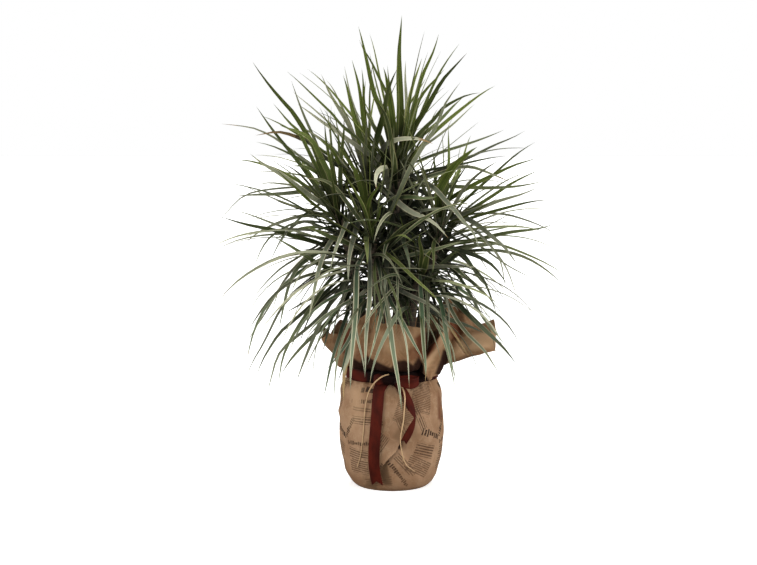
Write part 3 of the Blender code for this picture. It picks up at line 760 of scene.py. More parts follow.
    def material(self) -> bpy.types.Material:
        """Builds it. The sheet map is in metres on the paper: round from the front's middle, and up."""
        s = NodeSheet("kraft_paper")
        along, up = s.sheet_place()
        place = s.place()
        fibre = s.noise((along * 900.0, up * 260.0, 0.0), 1.0, 4.0, 0.7)
        cloud = s.noise(place, 22.0, 4.0, 0.6)
        wear = s.noise(place, 320.0, 3.0, 0.6)
        wrinkle = abs(s.noise(place, 38.0, 3.0, 0.55) - 0.5).rise(0.028, 0.0)
        print_wear = 0.72 + 0.28 * wear.rise(0.3, 0.6)
        bare = 1.0 - 0.7 * up.rise(*self.bare_above)
        colour = s.coats(
            s.mix(cloud.rise(0.25, 0.75), self.dark, self.light),
            (fibre.rise(0.35, 0.8) * 0.22, self.shade),
            (wrinkle * 0.16, self.rub),
            (self.inked(s, along, up) * print_wear * bare, self.ink_colour),
            (up.rise(0.29, 0.33) * 0.35, self.collar),
            # painted light, laid by the lit patches
            (s.value("lit") * (0.7 + 0.3 * cloud), self.lit),
            # painted shade: darker towards the bag's foot, where light from above falls less
            ((0.13 - up).rise(0.0, 0.06) * 0.35, self.shade),
            # painted shade in folds, laid by the fold patches
            (s.value("fold") * (0.75 + 0.25 * cloud), self.fold),
            # painted shadow, laid by its patches
            (s.value("damp") * (0.6 + 0.4 * cloud), self.damp),
            # painted shadow in recesses, laid by its patches
            (s.value("recess") * (0.94 + 0.06 * cloud), self.recess),
        )
        height = fibre * 0.10 + wrinkle * 0.35 + wear * 0.12
        return s.finish(colour, 0.70 + 0.15 * fibre, s.bump(height, 0.0008, 0.6), specular_ior_level=0.1)


@dataclass(frozen=True)
class RibbonFinish:
    """Satin ribbon: deep red-brown with a painted sheen, fine threads along it that catch the light, a
    darker selvedge, and painted shade at the knot and under the collar.
    """

    dark: str = "2C0E09"
    light: str = "581C10"
    selvedge: str = "2A0A08"
    # painted shade: the near black that the satin darkens to where it lies in shadow
    hidden: str = "0C0403"

    def material(self) -> bpy.types.Material:
        """Builds it. The sheet map is in metres along and across the ribbon."""
        s = NodeSheet("satin_ribbon")
        along, across = s.sheet_place()
        thread = s.noise((along * 60.0, across * 2600.0, 0.0), 1.0, 3.0, 0.6)
        painted_sheen = s.noise((along * 28.0, across * 50.0, 5.0), 1.0, 2.0)
        colour = s.coats(
            # painted sheen: lighter and darker streaks along the satin, broken by the threads
            s.mix(painted_sheen.rise(0.25, 0.75) * 0.7 + thread * 0.3, self.dark, self.light),
            (abs(across).rise(0.0100, 0.0106) * 0.5, self.selvedge),
            # painted shade at the knot and on the band under the collar
            (s.value("gathered"), self.hidden),
        )
        return s.finish(colour, 0.50 + 0.16 * thread, s.bump(thread, 0.0003, 0.5), specular_ior_level=0.06)


@dataclass(frozen=True)
class RaffiaFinish:
    """Raffia: pale straw with long fibres, a little glossy."""

    dark: str = "A07C52"
    light: str = "D6B488"

    def material(self) -> bpy.types.Material:
        """Builds it. The sheet map is in metres along and across the strand."""
        s = NodeSheet("raffia")
        along, across = s.sheet_place()
        fibre = s.noise((along * 45.0, across * 3200.0, 0.0), 1.0, 4.0, 0.7)
        colour = s.mix(fibre.rise(0.3, 0.7), self.dark, self.light)
        return s.finish(colour, 0.5 + 0.2 * fibre, s.bump(fibre, 0.0004))


@dataclass(frozen=True)
class FloorFinish:
    """The studio's plain pale floor, with the least grain."""

    tone: str = "F4F4F2"
    grain: str = "E6E6E4"

    def material(self) -> bpy.types.Material:
        """Builds it on object coordinates."""
        s = NodeSheet("studio_floor")
        speckle = s.noise(s.place(), 40.0, 3.0)
        return s.finish(s.mix(speckle * 0.04, self.tone, self.grain), 0.9, emission_strength=0.55)


# The photograph's view

@dataclass(frozen=True)
class View:
    """Where the plant is seen from, and which place in space shows at which pixel."""

    target: tuple[float, float, float] = (-0.0243, 0.0, 0.3626)
    distance: float = 2.6
    elevation: float = 6.0
    width: float = 1.347
    pixels: tuple[int, int] = (757, 565)

    def back(self) -> np.ndarray:
        """Unit vector from the target to the camera."""
        rise = math.radians(self.elevation)
        return np.array((0.0, -math.cos(rise), math.sin(rise)))

    def up(self) -> np.ndarray:
        """Unit vector up the view."""
        return np.cross((1.0, 0.0, 0.0), -self.back())

    def camera_place(self) -> np.ndarray:
        """Where the camera is."""
        return np.array(self.target) + self.back() * self.distance

    def place(self, seen: np.ndarray, depth: np.ndarray | float) -> np.ndarray:
        """The point that shows at a pixel and lies at a depth.

        Args:
            seen: columns and rows in the view, along the last axis.
            depth: the point's Y.

        Returns:
            Points, along the last axis.
        """
        offset = np.asarray(seen, float) - np.array(self.pixels) / 2
        offset = offset * self.width / self.pixels[0] / self.distance
        ray = -self.back() + offset[..., :1] * np.array((1.0, 0.0, 0.0)) - offset[..., 1:] * self.up()
        camera = self.camera_place()
        return camera + ray * ((depth - camera[1]) / ray[..., 1])[..., None]

    def seen(self, points: np.ndarray) -> np.ndarray:
        """The column and row at which each point shows."""
        reach = points - self.camera_place()
        away = reach @ -self.back()
        offset = np.stack([reach[..., 0] / away, -(reach @ self.up()) / away], axis=-1)
        return offset * self.distance * self.pixels[0] / self.width + np.array(self.pixels) / 2


# The plant

@dataclass(frozen=True)
class Leaf:
    """One leaf's form, in degrees and metres. Its droop is the total from its root to its tip."""

    azimuth: float
    rise: float
    droop: float
    bend: float
    length: float
    width: float
    roll: float
    sweep: float


@dataclass(frozen=True)
class PlacedLeaf:
    """A leaf on its cane, with its age from 0 at the crown to 1 at the lowest, and a draw of its own."""

    root: np.ndarray
    form: Leaf
    age: float
    draw: float


@dataclass(frozen=True)
class TracedLeaf:
    """A leaf that shows clearly in the view.

    seen holds columns and rows along its middle, from inside the head to its tip. depth is its tip's Y, and
    width is in millimetres. Its finish takes age, pale, margin and dryness, each from 0 to 1.
    """

    seen: Path
    depth: float
    width: float
    age: float
    pale: float = 0.0
    margin: float = 0.15
    dryness: float = 0.0


def path(text: str) -> Path:
    """Places in the view from text such as "401,150 400.9,130", where each is a column and a row."""
    return tuple(tuple(float(number) for number in place.split(",")) for place in text.split())


def traced_leaves(rows: str) -> tuple[TracedLeaf, ...]:
    """Reads a leaf from each row of text.

    Args:
        rows: the leaf's places in the view, a colon, and its other numbers in order. A row that starts
            with # says which leaves follow.

    Returns:
        The leaves, in the rows' order.
    """
    leaves = []
    for row in rows.strip().splitlines():
        if not row.strip().startswith("#"):
            seen, rest = row.split(":")
            leaves.append(TracedLeaf(path(seen), *(float(number) for number in rest.split())))
    return tuple(leaves)


@dataclass(frozen=True)
class Look:
    """What the leaf finish reads for one leaf, each from 0 to 1."""

    age: float
    tint: float
    dryness: float
    margin: float
    pale: float
    cool: float


@dataclass(frozen=True)
class Midrib:
    """A leaf's middle line: points, unit runs along it, level directions across it, its width and roll."""

    points: np.ndarray
    runs: np.ndarray
    level: np.ndarray
    shares: np.ndarray
    width: float
    roll: float
    look: Look


@dataclass(frozen=True)
class Cane:
    """One rooted cane and its head of leaves, as its solid has them.

    outline holds the leaves that draw the plant's outline: (age, azimuth, rise, droop, length).
    """

    number: int
    node: str
    base: tuple[float, float]
    crown: tuple[float, float, float]
    leafy: float
    leaves: int
    leaf_length: float
    young: float
    outline: tuple[tuple[float, float, float, float, float], ...] = ()


CANES = (
    Cane(0, "cane_tall", (0.010, 0.012), (0.008, 0.015, 0.578), 0.165, 50, 0.252, 0.90, (
        (0.01, 60, 89, 2, 0.262),
        (0.04, 186, 74, 4, 0.252),
        (0.05, -6, 74, 4, 0.238),
        (0.09, -18, 60, 4, 0.226),
        (0.16, 8, 56, 30, 0.240),
        (0.22, 4, 24, 3, 0.212),
    )),
    Cane(1, "cane_upper_left", (-0.020, 0.036), (-0.046, 0.050, 0.545), 0.140, 42, 0.242, 0.88, (
        (0.03, 178, 84, 2, 0.214),
        (0.05, 170, 77, 4, 0.216),
        (0.08, 188, 67, 5, 0.216),
        (0.12, 176, 56, 6, 0.244),
        (0.20, 186, 52, 34, 0.240),
        (0.32, 174, 46, 52, 0.236),
        (0.44, 188, 32, 40, 0.224),
    )),
    Cane(2, "cane_left", (-0.040, -0.002), (-0.098, -0.004, 0.492), 0.140, 48, 0.245, 0.80, (
        (0.03, 184, 62, 3, 0.312),
        (0.07, 196, 55, 4, 0.240),
        (0.13, 174, 58, 56, 0.236),
        (0.22, 182, 17, 10, 0.206),
        (0.50, 176, 20, 4, 0.212),
        (0.60, 192, 12, 92, 0.285),
        (0.72, 178, 6, 88, 0.285),
        (0.84, 206, 8, 90, 0.285),
        (0.94, 168, 0, 84, 0.270),
    )),
    Cane(3, "cane_right", (0.040, 0.000), (0.092, -0.008, 0.482), 0.140, 50, 0.240, 0.60, (
        (0.06, -4, 48, 14, 0.212),
        (0.12, 8, 32, 4, 0.200),
        (0.18, -10, 26, 22, 0.200),
        (0.36, 2, 14, 8, 0.206),
        (0.40, -18, 30, 66, 0.240),
    )),
    Cane(4, "cane_front", (-0.016, -0.032), (-0.034, -0.066, 0.452), 0.125, 48, 0.270, 0.60),
    Cane(5, "cane_low", (0.018, -0.036), (0.048, -0.064, 0.388), 0.075, 30, 0.240, 0.60),
    Cane(6, "cane_back", (0.020, 0.044), (0.036, 0.090, 0.465), 0.135, 44, 0.255, 0.70),
)


TRACED = traced_leaves("""
    # The crown's spears
    401,150 400.9,130 400.4,103 400.2,76 399.9,49 400.6,15: -0.03 11 0.02
    380,107 375,94.6 369,69 362.9,47.7 357.2,26: -0.02 9 0.08
    391,104 384,86.8 378.7,74.8 370,58.6 363.9,51.7 358,40: -0.01 6 0.1
    393,119 390.6,103 386.3,83.5 383,67: -0.05 11 0.12
    404,148 409,129 413.4,108.5 417.7,93 424.2,72.7 431.8,54 437.8,33: -0.02 8 0.03
    405,150 412.3,124.7 417.7,105 424.2,93 434,80 443.8,68: -0.05 7 0.05
    393.8,163 406,139 418.8,119 428.6,103 437,89 446,77 456.8,66 467.6,53: -0.09 9.5 0.12 0 0.15 0.12
    383,225 394.7,203 406,177 414.6,161 424,146 437,126 444,103 460,81: -0.12 8 0.6 0.2 0.12
    373,155 378,132 383,115 388.4,93 397,69: -0.08 11 0.3
    402,150 404.7,125 406.3,103 406.3,81 405.6,60: 0.1 7 0.5 0.6
    418,134 435,118 441.6,109.5 454.6,102 467.6,95.4 480,92: 0 7 0.3
    416,141 431.8,127 448,111.7 464.4,97.6: 0.04 7 0.4
    430,142 446,129 459,118 475.8,104.7: 0.08 4.5 0.5 0.3
    424,143 446,122.6 471.4,98: 0.1 3.5 0.5 0.5
    # The upper left
    312,143 303.7,131 293.5,114 283.3,101.7 271,86 252.7,61: -0.03 9 0.12
    303,138 295.5,129 283.3,117 272.2,104: -0.02 7 0.2
    348.6,132 334.3,115 322,103 306.7,89.5 285.8,72: 0.02 5 0.25
    351.6,133 340.4,110 329.2,90.5 320.5,74: 0.06 8 0.4 0.55 0.3
    352,128 342.4,106.8 333.3,90.5 325,80: 0.08 5 0.4 0.5
    366.5,146 359.8,134 353.7,112 347.6,92.6 341.9,75: -0.02 9.5 0.2
    361,130 349.6,90.5 343,66: 0.09 5 0.4 0.5
    368,146 362.9,117 357.2,81 352.9,59: -0.03 8 0.05
    369,148 366,128 364.9,107 362.9,86 360.4,68: -0.01 7 0.1
    371,156 345.7,138 337,131 311.8,114 296.5,105: 0.05 8 0.6 0.7 0.3
    317,145 306.7,120 297.6,99.7 290,81: 0.02 6 0.4 0.2
    345,138 334,128 322,117 307.8,103 292,90: 0.07 4 0.6 0.5
    # The left fan
    330.8,177 322.7,161 312.4,142 300,133 288,128 279.3,124: -0.05 10 0.25
    325,158 312.4,145.5 300,139 292,135 278.8,131 267.6,132 255,135: -0.06 8 0.6 0.1 0.3 0.6
    320.6,173 307.3,162 292,150.6 277.8,139 265.5,132 251,127 220.6,125: 0 4.5 0.6 0.35 0.2 0.2
    334,187 325.7,179 314.5,170 302,161 288,152.7 271.6,144.5 256,141: -0.02 6 0.4
    336,187 325.7,179 312.4,171 302,166 289.5,165: -0.06 8 0.35
    346,202 336,187 325.7,180 314.5,178 303.8,180: -0.09 8 0.4 0.1 0.4 0.15
    322,203 307.3,193.5 292,183 277.8,173 265.5,165 250.7,152.7: -0.05 10 0.6 0.35 0.25
    326,189 307.3,190.4 292,192.4 271.6,195 243,196 233.4,196: -0.04 8 0.5 0.15
    340,250 325.7,245.5 312.4,241 292,236 271.6,230 251,225 232.9,219.5 220.6,216: -0.06 8.5 0.35
    330,219 317.6,214 302,210 287,203.7 272.7,198: 0 5 0.6
    327,197 310,190 299,186.3 284.9,183.3 267.6,183.3 255,187: 0.02 4.5 0.6 0.3
    328,196 316,206.7 302,217 287,233 276,250: -0.08 5 0.7
    325,217 310,216 292,218 276.7,224 256,235: 0 4.5 0.7 0.3
    # The right fan
    410,164 424,158.5 442.4,152.4 460.6,146.4 484.8,136.7 504,130: 0 5.5 0.5
    446,168 460.6,161 475,155 497,145 512.7,138 524.8,130: 0 5.5 0.5 0.1
    438,197 442.4,185 446,178 454.5,164.5 467.9,152.4 477.6,147: -0.1 15 0.12
    418,173 442.4,167 467.9,163 484.8,160 505.5,156: -0.02 5 0.5
    430,212 442.4,203 460.6,192 478.8,182.7 497,174 515,164.5 539.4,156: -0.1 8 0.15
    455,187 478,188 497,187 521,185 544,182: -0.08 7 0.35 0.1
    437,220 452,216.7 467.9,213 484.8,207 503,199.7 521,193.6 538,186: -0.12 8.5 0.6 0.3 0.25
    450,244 472.7,241 494.5,236 515,231 539.4,227.6 555,224: -0.08 7.5 0.4
    462,216 480,213 497,213 512.7,215.5 539,226 558.8,235.5: 0.02 4 0.7 0.3
    442.4,173 460.6,167 475,167 490.9,173 509.7,183: -0.11 7 0.6 0.1 0.35 0.2
    428,184 436.4,190 446,200 455.8,210.6 463,221.5 472.7,233.6 479,250: -0.16 9 0.7 0.45 0.35
    448,205 463,215.5 478.8,226 491,237 505.5,249 519,266: -0.13 10 0.7 0.3
    395,215 412,212 432.8,210 449.4,208.7 462,210: -0.15 6 0.6 0.5
    400,197.3 418,197.3 437.6,197: -0.17 8 0.4 0.1 0.3
    # The head's middle and front
    386.4,180 386,168 379.7,170.6 376.4,178 375.6,189: -0.15 12 0.8 1 0.3 0.12
    378,158 383,147 388.8,142 398,139 408,139 420,140 433.6,143.6: -0.13 9 0.8 0.9 0.3 0.3
    383,189 395.5,199.6 412,212 424.5,218 435,225 448.5,239: -0.19 10.5 0.7 0.75 0.3 0.1
    364.8,210 361.5,194 358,181 354.9,169 349,160 344,151.5 333.3,136: -0.14 9 0.03
    366.5,206 364.8,190 362,178 356,160: -0.15 7 0.06
    368,214.5 369,206 371.4,196 375.6,188.8 380,181: -0.15 7 0.08
    354,186 340,164 332.5,151.5 325,144 316,137: -0.1 7 0.2
    408,207 416,191 427.8,176.4: -0.15 4.5 0.6 0.6
    372.3,226 376.4,218.7 383,204.6: -0.15 6 0.1
    # What hangs in front of the wrap
    360,207 355.7,208.7 347.4,218.7 341.6,232.7 336,250 331,272: -0.16 9 0.6 0.5 0.4
    360,219 356.5,226 352,245 347,282: -0.17 10 0.7 0.6 0.4 0.05
    368,216 367.3,221 367,240 366,265: -0.17 11 0.15 0.1 0.25 0.08
    371,240 374.5,249 379,272 383,296: -0.17 9 0.7 0.2 0.45
    380,236 384.5,244 386.5,270 385,301: -0.16 10 0.7 0.6 0.25
    400,236 398.5,245 391,275 382.3,313 373,344 366,365: -0.155 9 0.8 0.2 0.4
    398,226 402,232 406,250 409.5,271: -0.17 9 0.5 0.3
    359,262 356.5,272 355.5,300 354,340 349.5,391: -0.16 10 0.8 0.15 0.45
    396,252 401,272 407,298 412,323: -0.09 9 0.5
    402,256 413,280 421,302 433,326: -0.08 9 0.5
    389,262 396,284 404,306 409,330: -0.06 9 0.5
    369,249 370,260 369,300 367.6,320 366,360 364,378: -0.15 8.5 0.8 0.45 0.4
    384,275 385,300 390.3,327 394.4,353.6 398,380 400.5,412: -0.155 10 0.8 0.15 0.4
    386,291 393,307 406.4,329.5 421,353.6 424,364: -0.15 8 0.8 0.1 0.35
    420,275 421,300 423.8,333.5 424.5,353.6 425,367 424,383: -0.15 8.5 0.7 0.1 0.25 0.15
    414,285 426.5,300 438.6,313 457,336 470.4,358: -0.15 7.5 0.8 0.6 0.4 0.5
    434,288 441,305 445,325 449.3,347 454,380: -0.14 8 0.7 0.1
    438,283 454.6,300 470.7,316 488,333.5 504,349.6 517.6,365: -0.1 9.5 0.6
    443,293 455,318 466.7,333.5 480,345 488,353.6 500,375: -0.13 7 0.8 0.1 0.35
    350,271 342,288 331.4,302 318,326 306,354 297,384: -0.1 8 0.7 0.2
    362,296 357,322 350,337.5 336.8,356 326,370: -0.145 9 0.7 0.1 0.35
    355,290 355.5,315 357,333.5 361,356 363.6,373.7: -0.15 6 0.8 0.5 0.4
    352,225 337,234 324,252 316,278 312.5,305 309,323: -0.16 9 0.8 0.5 0.4
    352,300 345,320 338.7,341 329,369 322.5,399: -0.14 7 0.7 0.1 0.3
    357,318 350,340 345,357 336,384: -0.145 6.5 0.6 0 0.25
    353,318 350,345 346.3,366 344.2,382 342.8,402: -0.14 11 0.7 0.7 0.3 0.5
    # What hangs at the left
    330,186 285,188 255,191 238,199 217,225: 0.03 4 0.7 0.4
    331,224 299,221 274,235 263,248 253,267: -0.05 4.5 0.7
    330,230 306,222 290,229 279,241 268.5,264: -0.08 4 0.7 0.2
    352,281 336,271 318,264 303,255 289,245 273,234: -0.1 8 0.45
    330,246 303,262 292,275 287,292 283,315 279,331: -0.09 7 0.6
    322,247 294,269 279,290 265,312 253,330 245,347: -0.02 4.5 0.7 0.5
    322,243 296,258 281,268 266,284 252,300: -0.04 4 0.7 0.2
    326,270 298,290 282,308 268,334 258,351 249,366 248,380: -0.04 5 0.7 0.3
    334,284 309,308 287,326 277,335 263,358 257,377: -0.07 7 0.6
    328,282 310.6,307 296.6,329 285,354 280,375 278,385: -0.09 7 0.5
    340,294 316,320 282.6,349 273,375 267,395: -0.05 6 0.7 0.15
    350,294 327,322 308,340 291,361 281,376: -0.11 8 0.55
    # What hangs at the right
    425,243 445,246 462,250.5 478,257 493,267 508.5,286: -0.1 9 0.5
    440,245 458,251 470,263 480,278 489,289: -0.08 6.5 0.6
    446,247 462,256 474,268 483,280 490,297 498,316: -0.06 6 0.6
    420,250 438,258 458,271 476,285 497,303: -0.12 8 0.6 0.1
    436,253 450,267 461,280 473,299 486,321 498,336 507,349: -0.09 6 0.7
    430,252 444,266 461,298 478,323: -0.07 4 0.7 0.3
    470,240 490,253 508.5,265 522,273 535,281.5: -0.03 3.5 0.7 0.2
    470,226 482,236 492,248 508.5,272 520,301: -0.06 3.5 0.7 0.5
    462,222 474,229 486,241 500,262 507,291: -0.09 4 0.7 0.4
    # What closes the plant's middle behind the rest
    392,262 385,240 378,215 371,188: 0.03 17 0.6
    392,262 392,235 390,208 387,180: 0.02 17 0.6
    394,262 400,236 404,210 409,184: 0.03 17 0.6
    396,262 410,240 421,218 431,194: 0.03 17 0.6
    398,264 416,250 436,232 454,212: 0.03 17 0.6
    388,262 372,246 358,226 346,204: 0.04 17 0.6
    386,264 366,252 346,238 326,226: 0.03 15 0.6
    394,206 390,184 386,162 379,138: 0.05 17 0.5
    396,206 402,184 408,162 417,142: 0.05 17 0.5
    400,214 416,205 434,197 454,190: 0.04 15 0.6
    386,214 370,205 352,197 332,190: 0.04 15 0.6
    440,262 446,242 452,224 463,204: 0.02 15 0.5
    438,264 433,242 430,220 423,198: 0.02 15 0.5
    440,266 456,254 472,246 490,241: 0.03 13 0.6
    398,262 404,276 412,292 424,310: 0.05 15 0.6
    384,262 374,276 364,292 352,310: 0.05 15 0.6
""")


@dataclass(frozen=True)
class GrowthRule:
    """How the plant's leaves grow: the seeded rule that the solids were made by."""

    foot_height: float = 0.0935
    knee_height: float = 0.55
    cane_radius: float = 0.0090
    crown_radius: float = 0.0055
    taper_start: float = 0.7
    golden_angle: float = 137.508
    cane_turn: float = 57.0
    leaf_width: float = 0.0132
    root_reach: float = 0.6
    line_steps: int = 24
    most_straight_droop: float = 24.0
    straight_stations: tuple[float, ...] = (0.42, 1.0)
    curved_stations: tuple[float, ...] = (0.54, 0.77, 1.0)
    young_rise: float = 84.0
    rise_lost: float = 70.0
    ageing: float = 0.85
    lean: float = 15.0
    full_lean_reach: float = 0.05
    young_droop: float = 8.0
    droop_gained: float = 100.0
    young_bend: float = 1.5
    bend_lost: float = 0.8
    rise_spread: float = 4.0
    azimuth_spread: float = 7.0
    roll_spread: float = 28.0
    sweep_spread: float = 9.0
    oldest_length: float = 0.94
    crowding: float = 1.05
    hanging_droop: float = 60.0
    early_bend: float = 0.6
    late_bend: float = 1.2
    outline_roll: float = 50.0
    rise_strain: float = 1.2
    azimuth_strain: float = 2.5
    length_strain: float = 0.004
    outline_strain: float = 2.0
    most_tries: int = 48
    fit: float = 0.0010
    crown_gap: float = 0.01

    def radius(self, share: np.ndarray | float) -> np.ndarray | float:
        """The cane's radius at a share of its length: even up to its head, then tapering to the crown."""
        stops = (0.0, self.taper_start, 1.0)
        return np.interp(share, stops, (self.cane_radius, self.cane_radius, self.crown_radius))

    def cane_line(self, cane: Cane, shares: np.ndarray) -> np.ndarray:
        """Points up a cane's middle: a quadratic curve, upright at its foot, that leans to its crown."""
        foot = np.array((*cane.base, self.foot_height))
        crown = np.array(cane.crown)
        knee = np.array((*cane.base, foot[2] + self.knee_height * (crown[2] - foot[2])))
        share = np.asarray(shares, float)[:, None]
        return (1 - share) ** 2 * foot + 2 * share * (1 - share) * knee + share ** 2 * crown

    def share(self, cane: Cane, age: np.ndarray | float) -> np.ndarray | float:
        """How far up its cane a leaf of an age starts."""
        return 1.0 - self.crown_gap - cane.leafy * age / (cane.crown[2] - self.foot_height)

    def root(self, cane: Cane, age: float, azimuth: float) -> np.ndarray:
        """Where a leaf starts: inside the cane's head, a little off its middle."""
        share = self.share(cane, age)
        heading = math.radians(azimuth)
        outward = np.array((math.cos(heading), math.sin(heading), 0.0))
        return self.cane_line(cane, [share])[0] + self.root_reach * float(self.radius(share)) * outward

    def line(self, root: np.ndarray, leaf: Leaf, shares: np.ndarray) -> tuple[np.ndarray, np.ndarray]:
        """Points and directions along a leaf's middle, at shares of its length.

        Its slope falls by droop * s ** bend at a share s of its length, and it turns evenly by its sweep.
        """
        middles = (np.arange(self.line_steps) + 0.5) / self.line_steps
        slope = np.radians(leaf.rise - leaf.droop * middles ** leaf.bend)
        heading = np.radians(leaf.azimuth + leaf.sweep * middles)
        steps = rounded(np.cos(slope), heading, np.sin(slope))
        line = np.vstack([np.zeros(3), np.cumsum(steps, axis=0)]) * leaf.length / self.line_steps + root
        along = np.linspace(0, 1, self.line_steps + 1)
        return sampled(shares, along, line), unit(sampled(shares, middles, steps))

    def grown(self, cane: Cane, age: float, azimuth: float, draw: np.random.Generator, strain: int) -> Leaf:
        """A leaf as the cane grows it: young ones stand up, and old ones lie out and droop early."""
        lean_x, lean_y = cane.crown[0] - cane.base[0], cane.crown[1] - cane.base[1]
        outward = math.degrees(math.atan2(lean_y, lean_x))
        lean = self.lean * min(1.0, math.hypot(lean_y, lean_x) / self.full_lean_reach)
        lean *= math.cos(math.radians(azimuth - outward))
        rise = self.young_rise - self.rise_lost * age ** self.ageing - lean
        rise += draw.normal() * (self.rise_spread + self.rise_strain * strain)
        droop = (self.young_droop + self.droop_gained * age) * draw.uniform(0.75, 1.15)
        length = cane.leaf_length * draw.uniform(0.86, 1.12)
        length *= np.interp(age, (0, 0.2, 0.7, 1), (cane.young, 1, 1, self.oldest_length))
        return Leaf(
            azimuth + draw.normal() * (self.azimuth_spread + self.azimuth_strain * strain),
            rise,
            droop,
            self.young_bend - self.bend_lost * age,
            length * (1 - self.length_strain * strain),
            self.leaf_width * draw.uniform(0.86, 1.1),
            draw.normal() * self.roll_spread,
            draw.normal() * self.sweep_spread,
        )

    def wanted(self, cane: Cane) -> list[tuple[float, float, Leaf | None]]:
        """The leaves that a cane sets out to grow: (age, azimuth, its form if the outline gives it)."""
        leaves = []
        for age, azimuth, rise, droop, length in cane.outline:
            bend = self.early_bend if droop > self.hanging_droop else self.late_bend
            roll = self.outline_roll * math.cos(math.radians(azimuth))
            form = Leaf(azimuth, rise, droop, bend, length, self.leaf_width, roll, 0.0)
            leaves.append((age, azimuth, form))
        for index in range(cane.leaves):
            age = ((index + 0.5) / cane.leaves) ** self.crowding
            leaves.append((age, index * self.golden_angle + self.cane_turn * cane.number, None))
        return leaves

    def leaves_in(self, solid: BVHTree, cane: Cane) -> list[PlacedLeaf]:
        """Finds which try at each leaf the solid holds: the first whose middle line lies on its surface.

        Args:
            solid: the cane's solid, as a search tree.
            cane: the cane.

        Returns:
            The leaves found. One that the solid leaves out is left out here too.
        """
        found = []
        for index, (age, azimuth, fixed) in enumerate(self.wanted(cane)):
            for attempt in range(self.most_tries):
                draw = np.random.default_rng((cane.number, index, attempt))
                if fixed is None:
                    leaf = self.grown(cane, age, azimuth, draw, attempt)
                elif attempt == 0:
                    leaf = fixed
                else:
                    turned = azimuth + draw.normal() * attempt
                    rise = fixed.rise + draw.normal() * self.outline_strain
                    leaf = replace(fixed, azimuth=turned, rise=rise)
                root = self.root(cane, age, leaf.azimuth)
                straight = leaf.droop < self.most_straight_droop
                shares = self.straight_stations if straight else self.curved_stations
                points, _ = self.line(root, leaf, shares)
                if all(solid.find_nearest(Vector(point), self.fit)[0] for point in points):
                    found.append(PlacedLeaf(root, leaf, age, float(draw.uniform())))
                    break
        return found


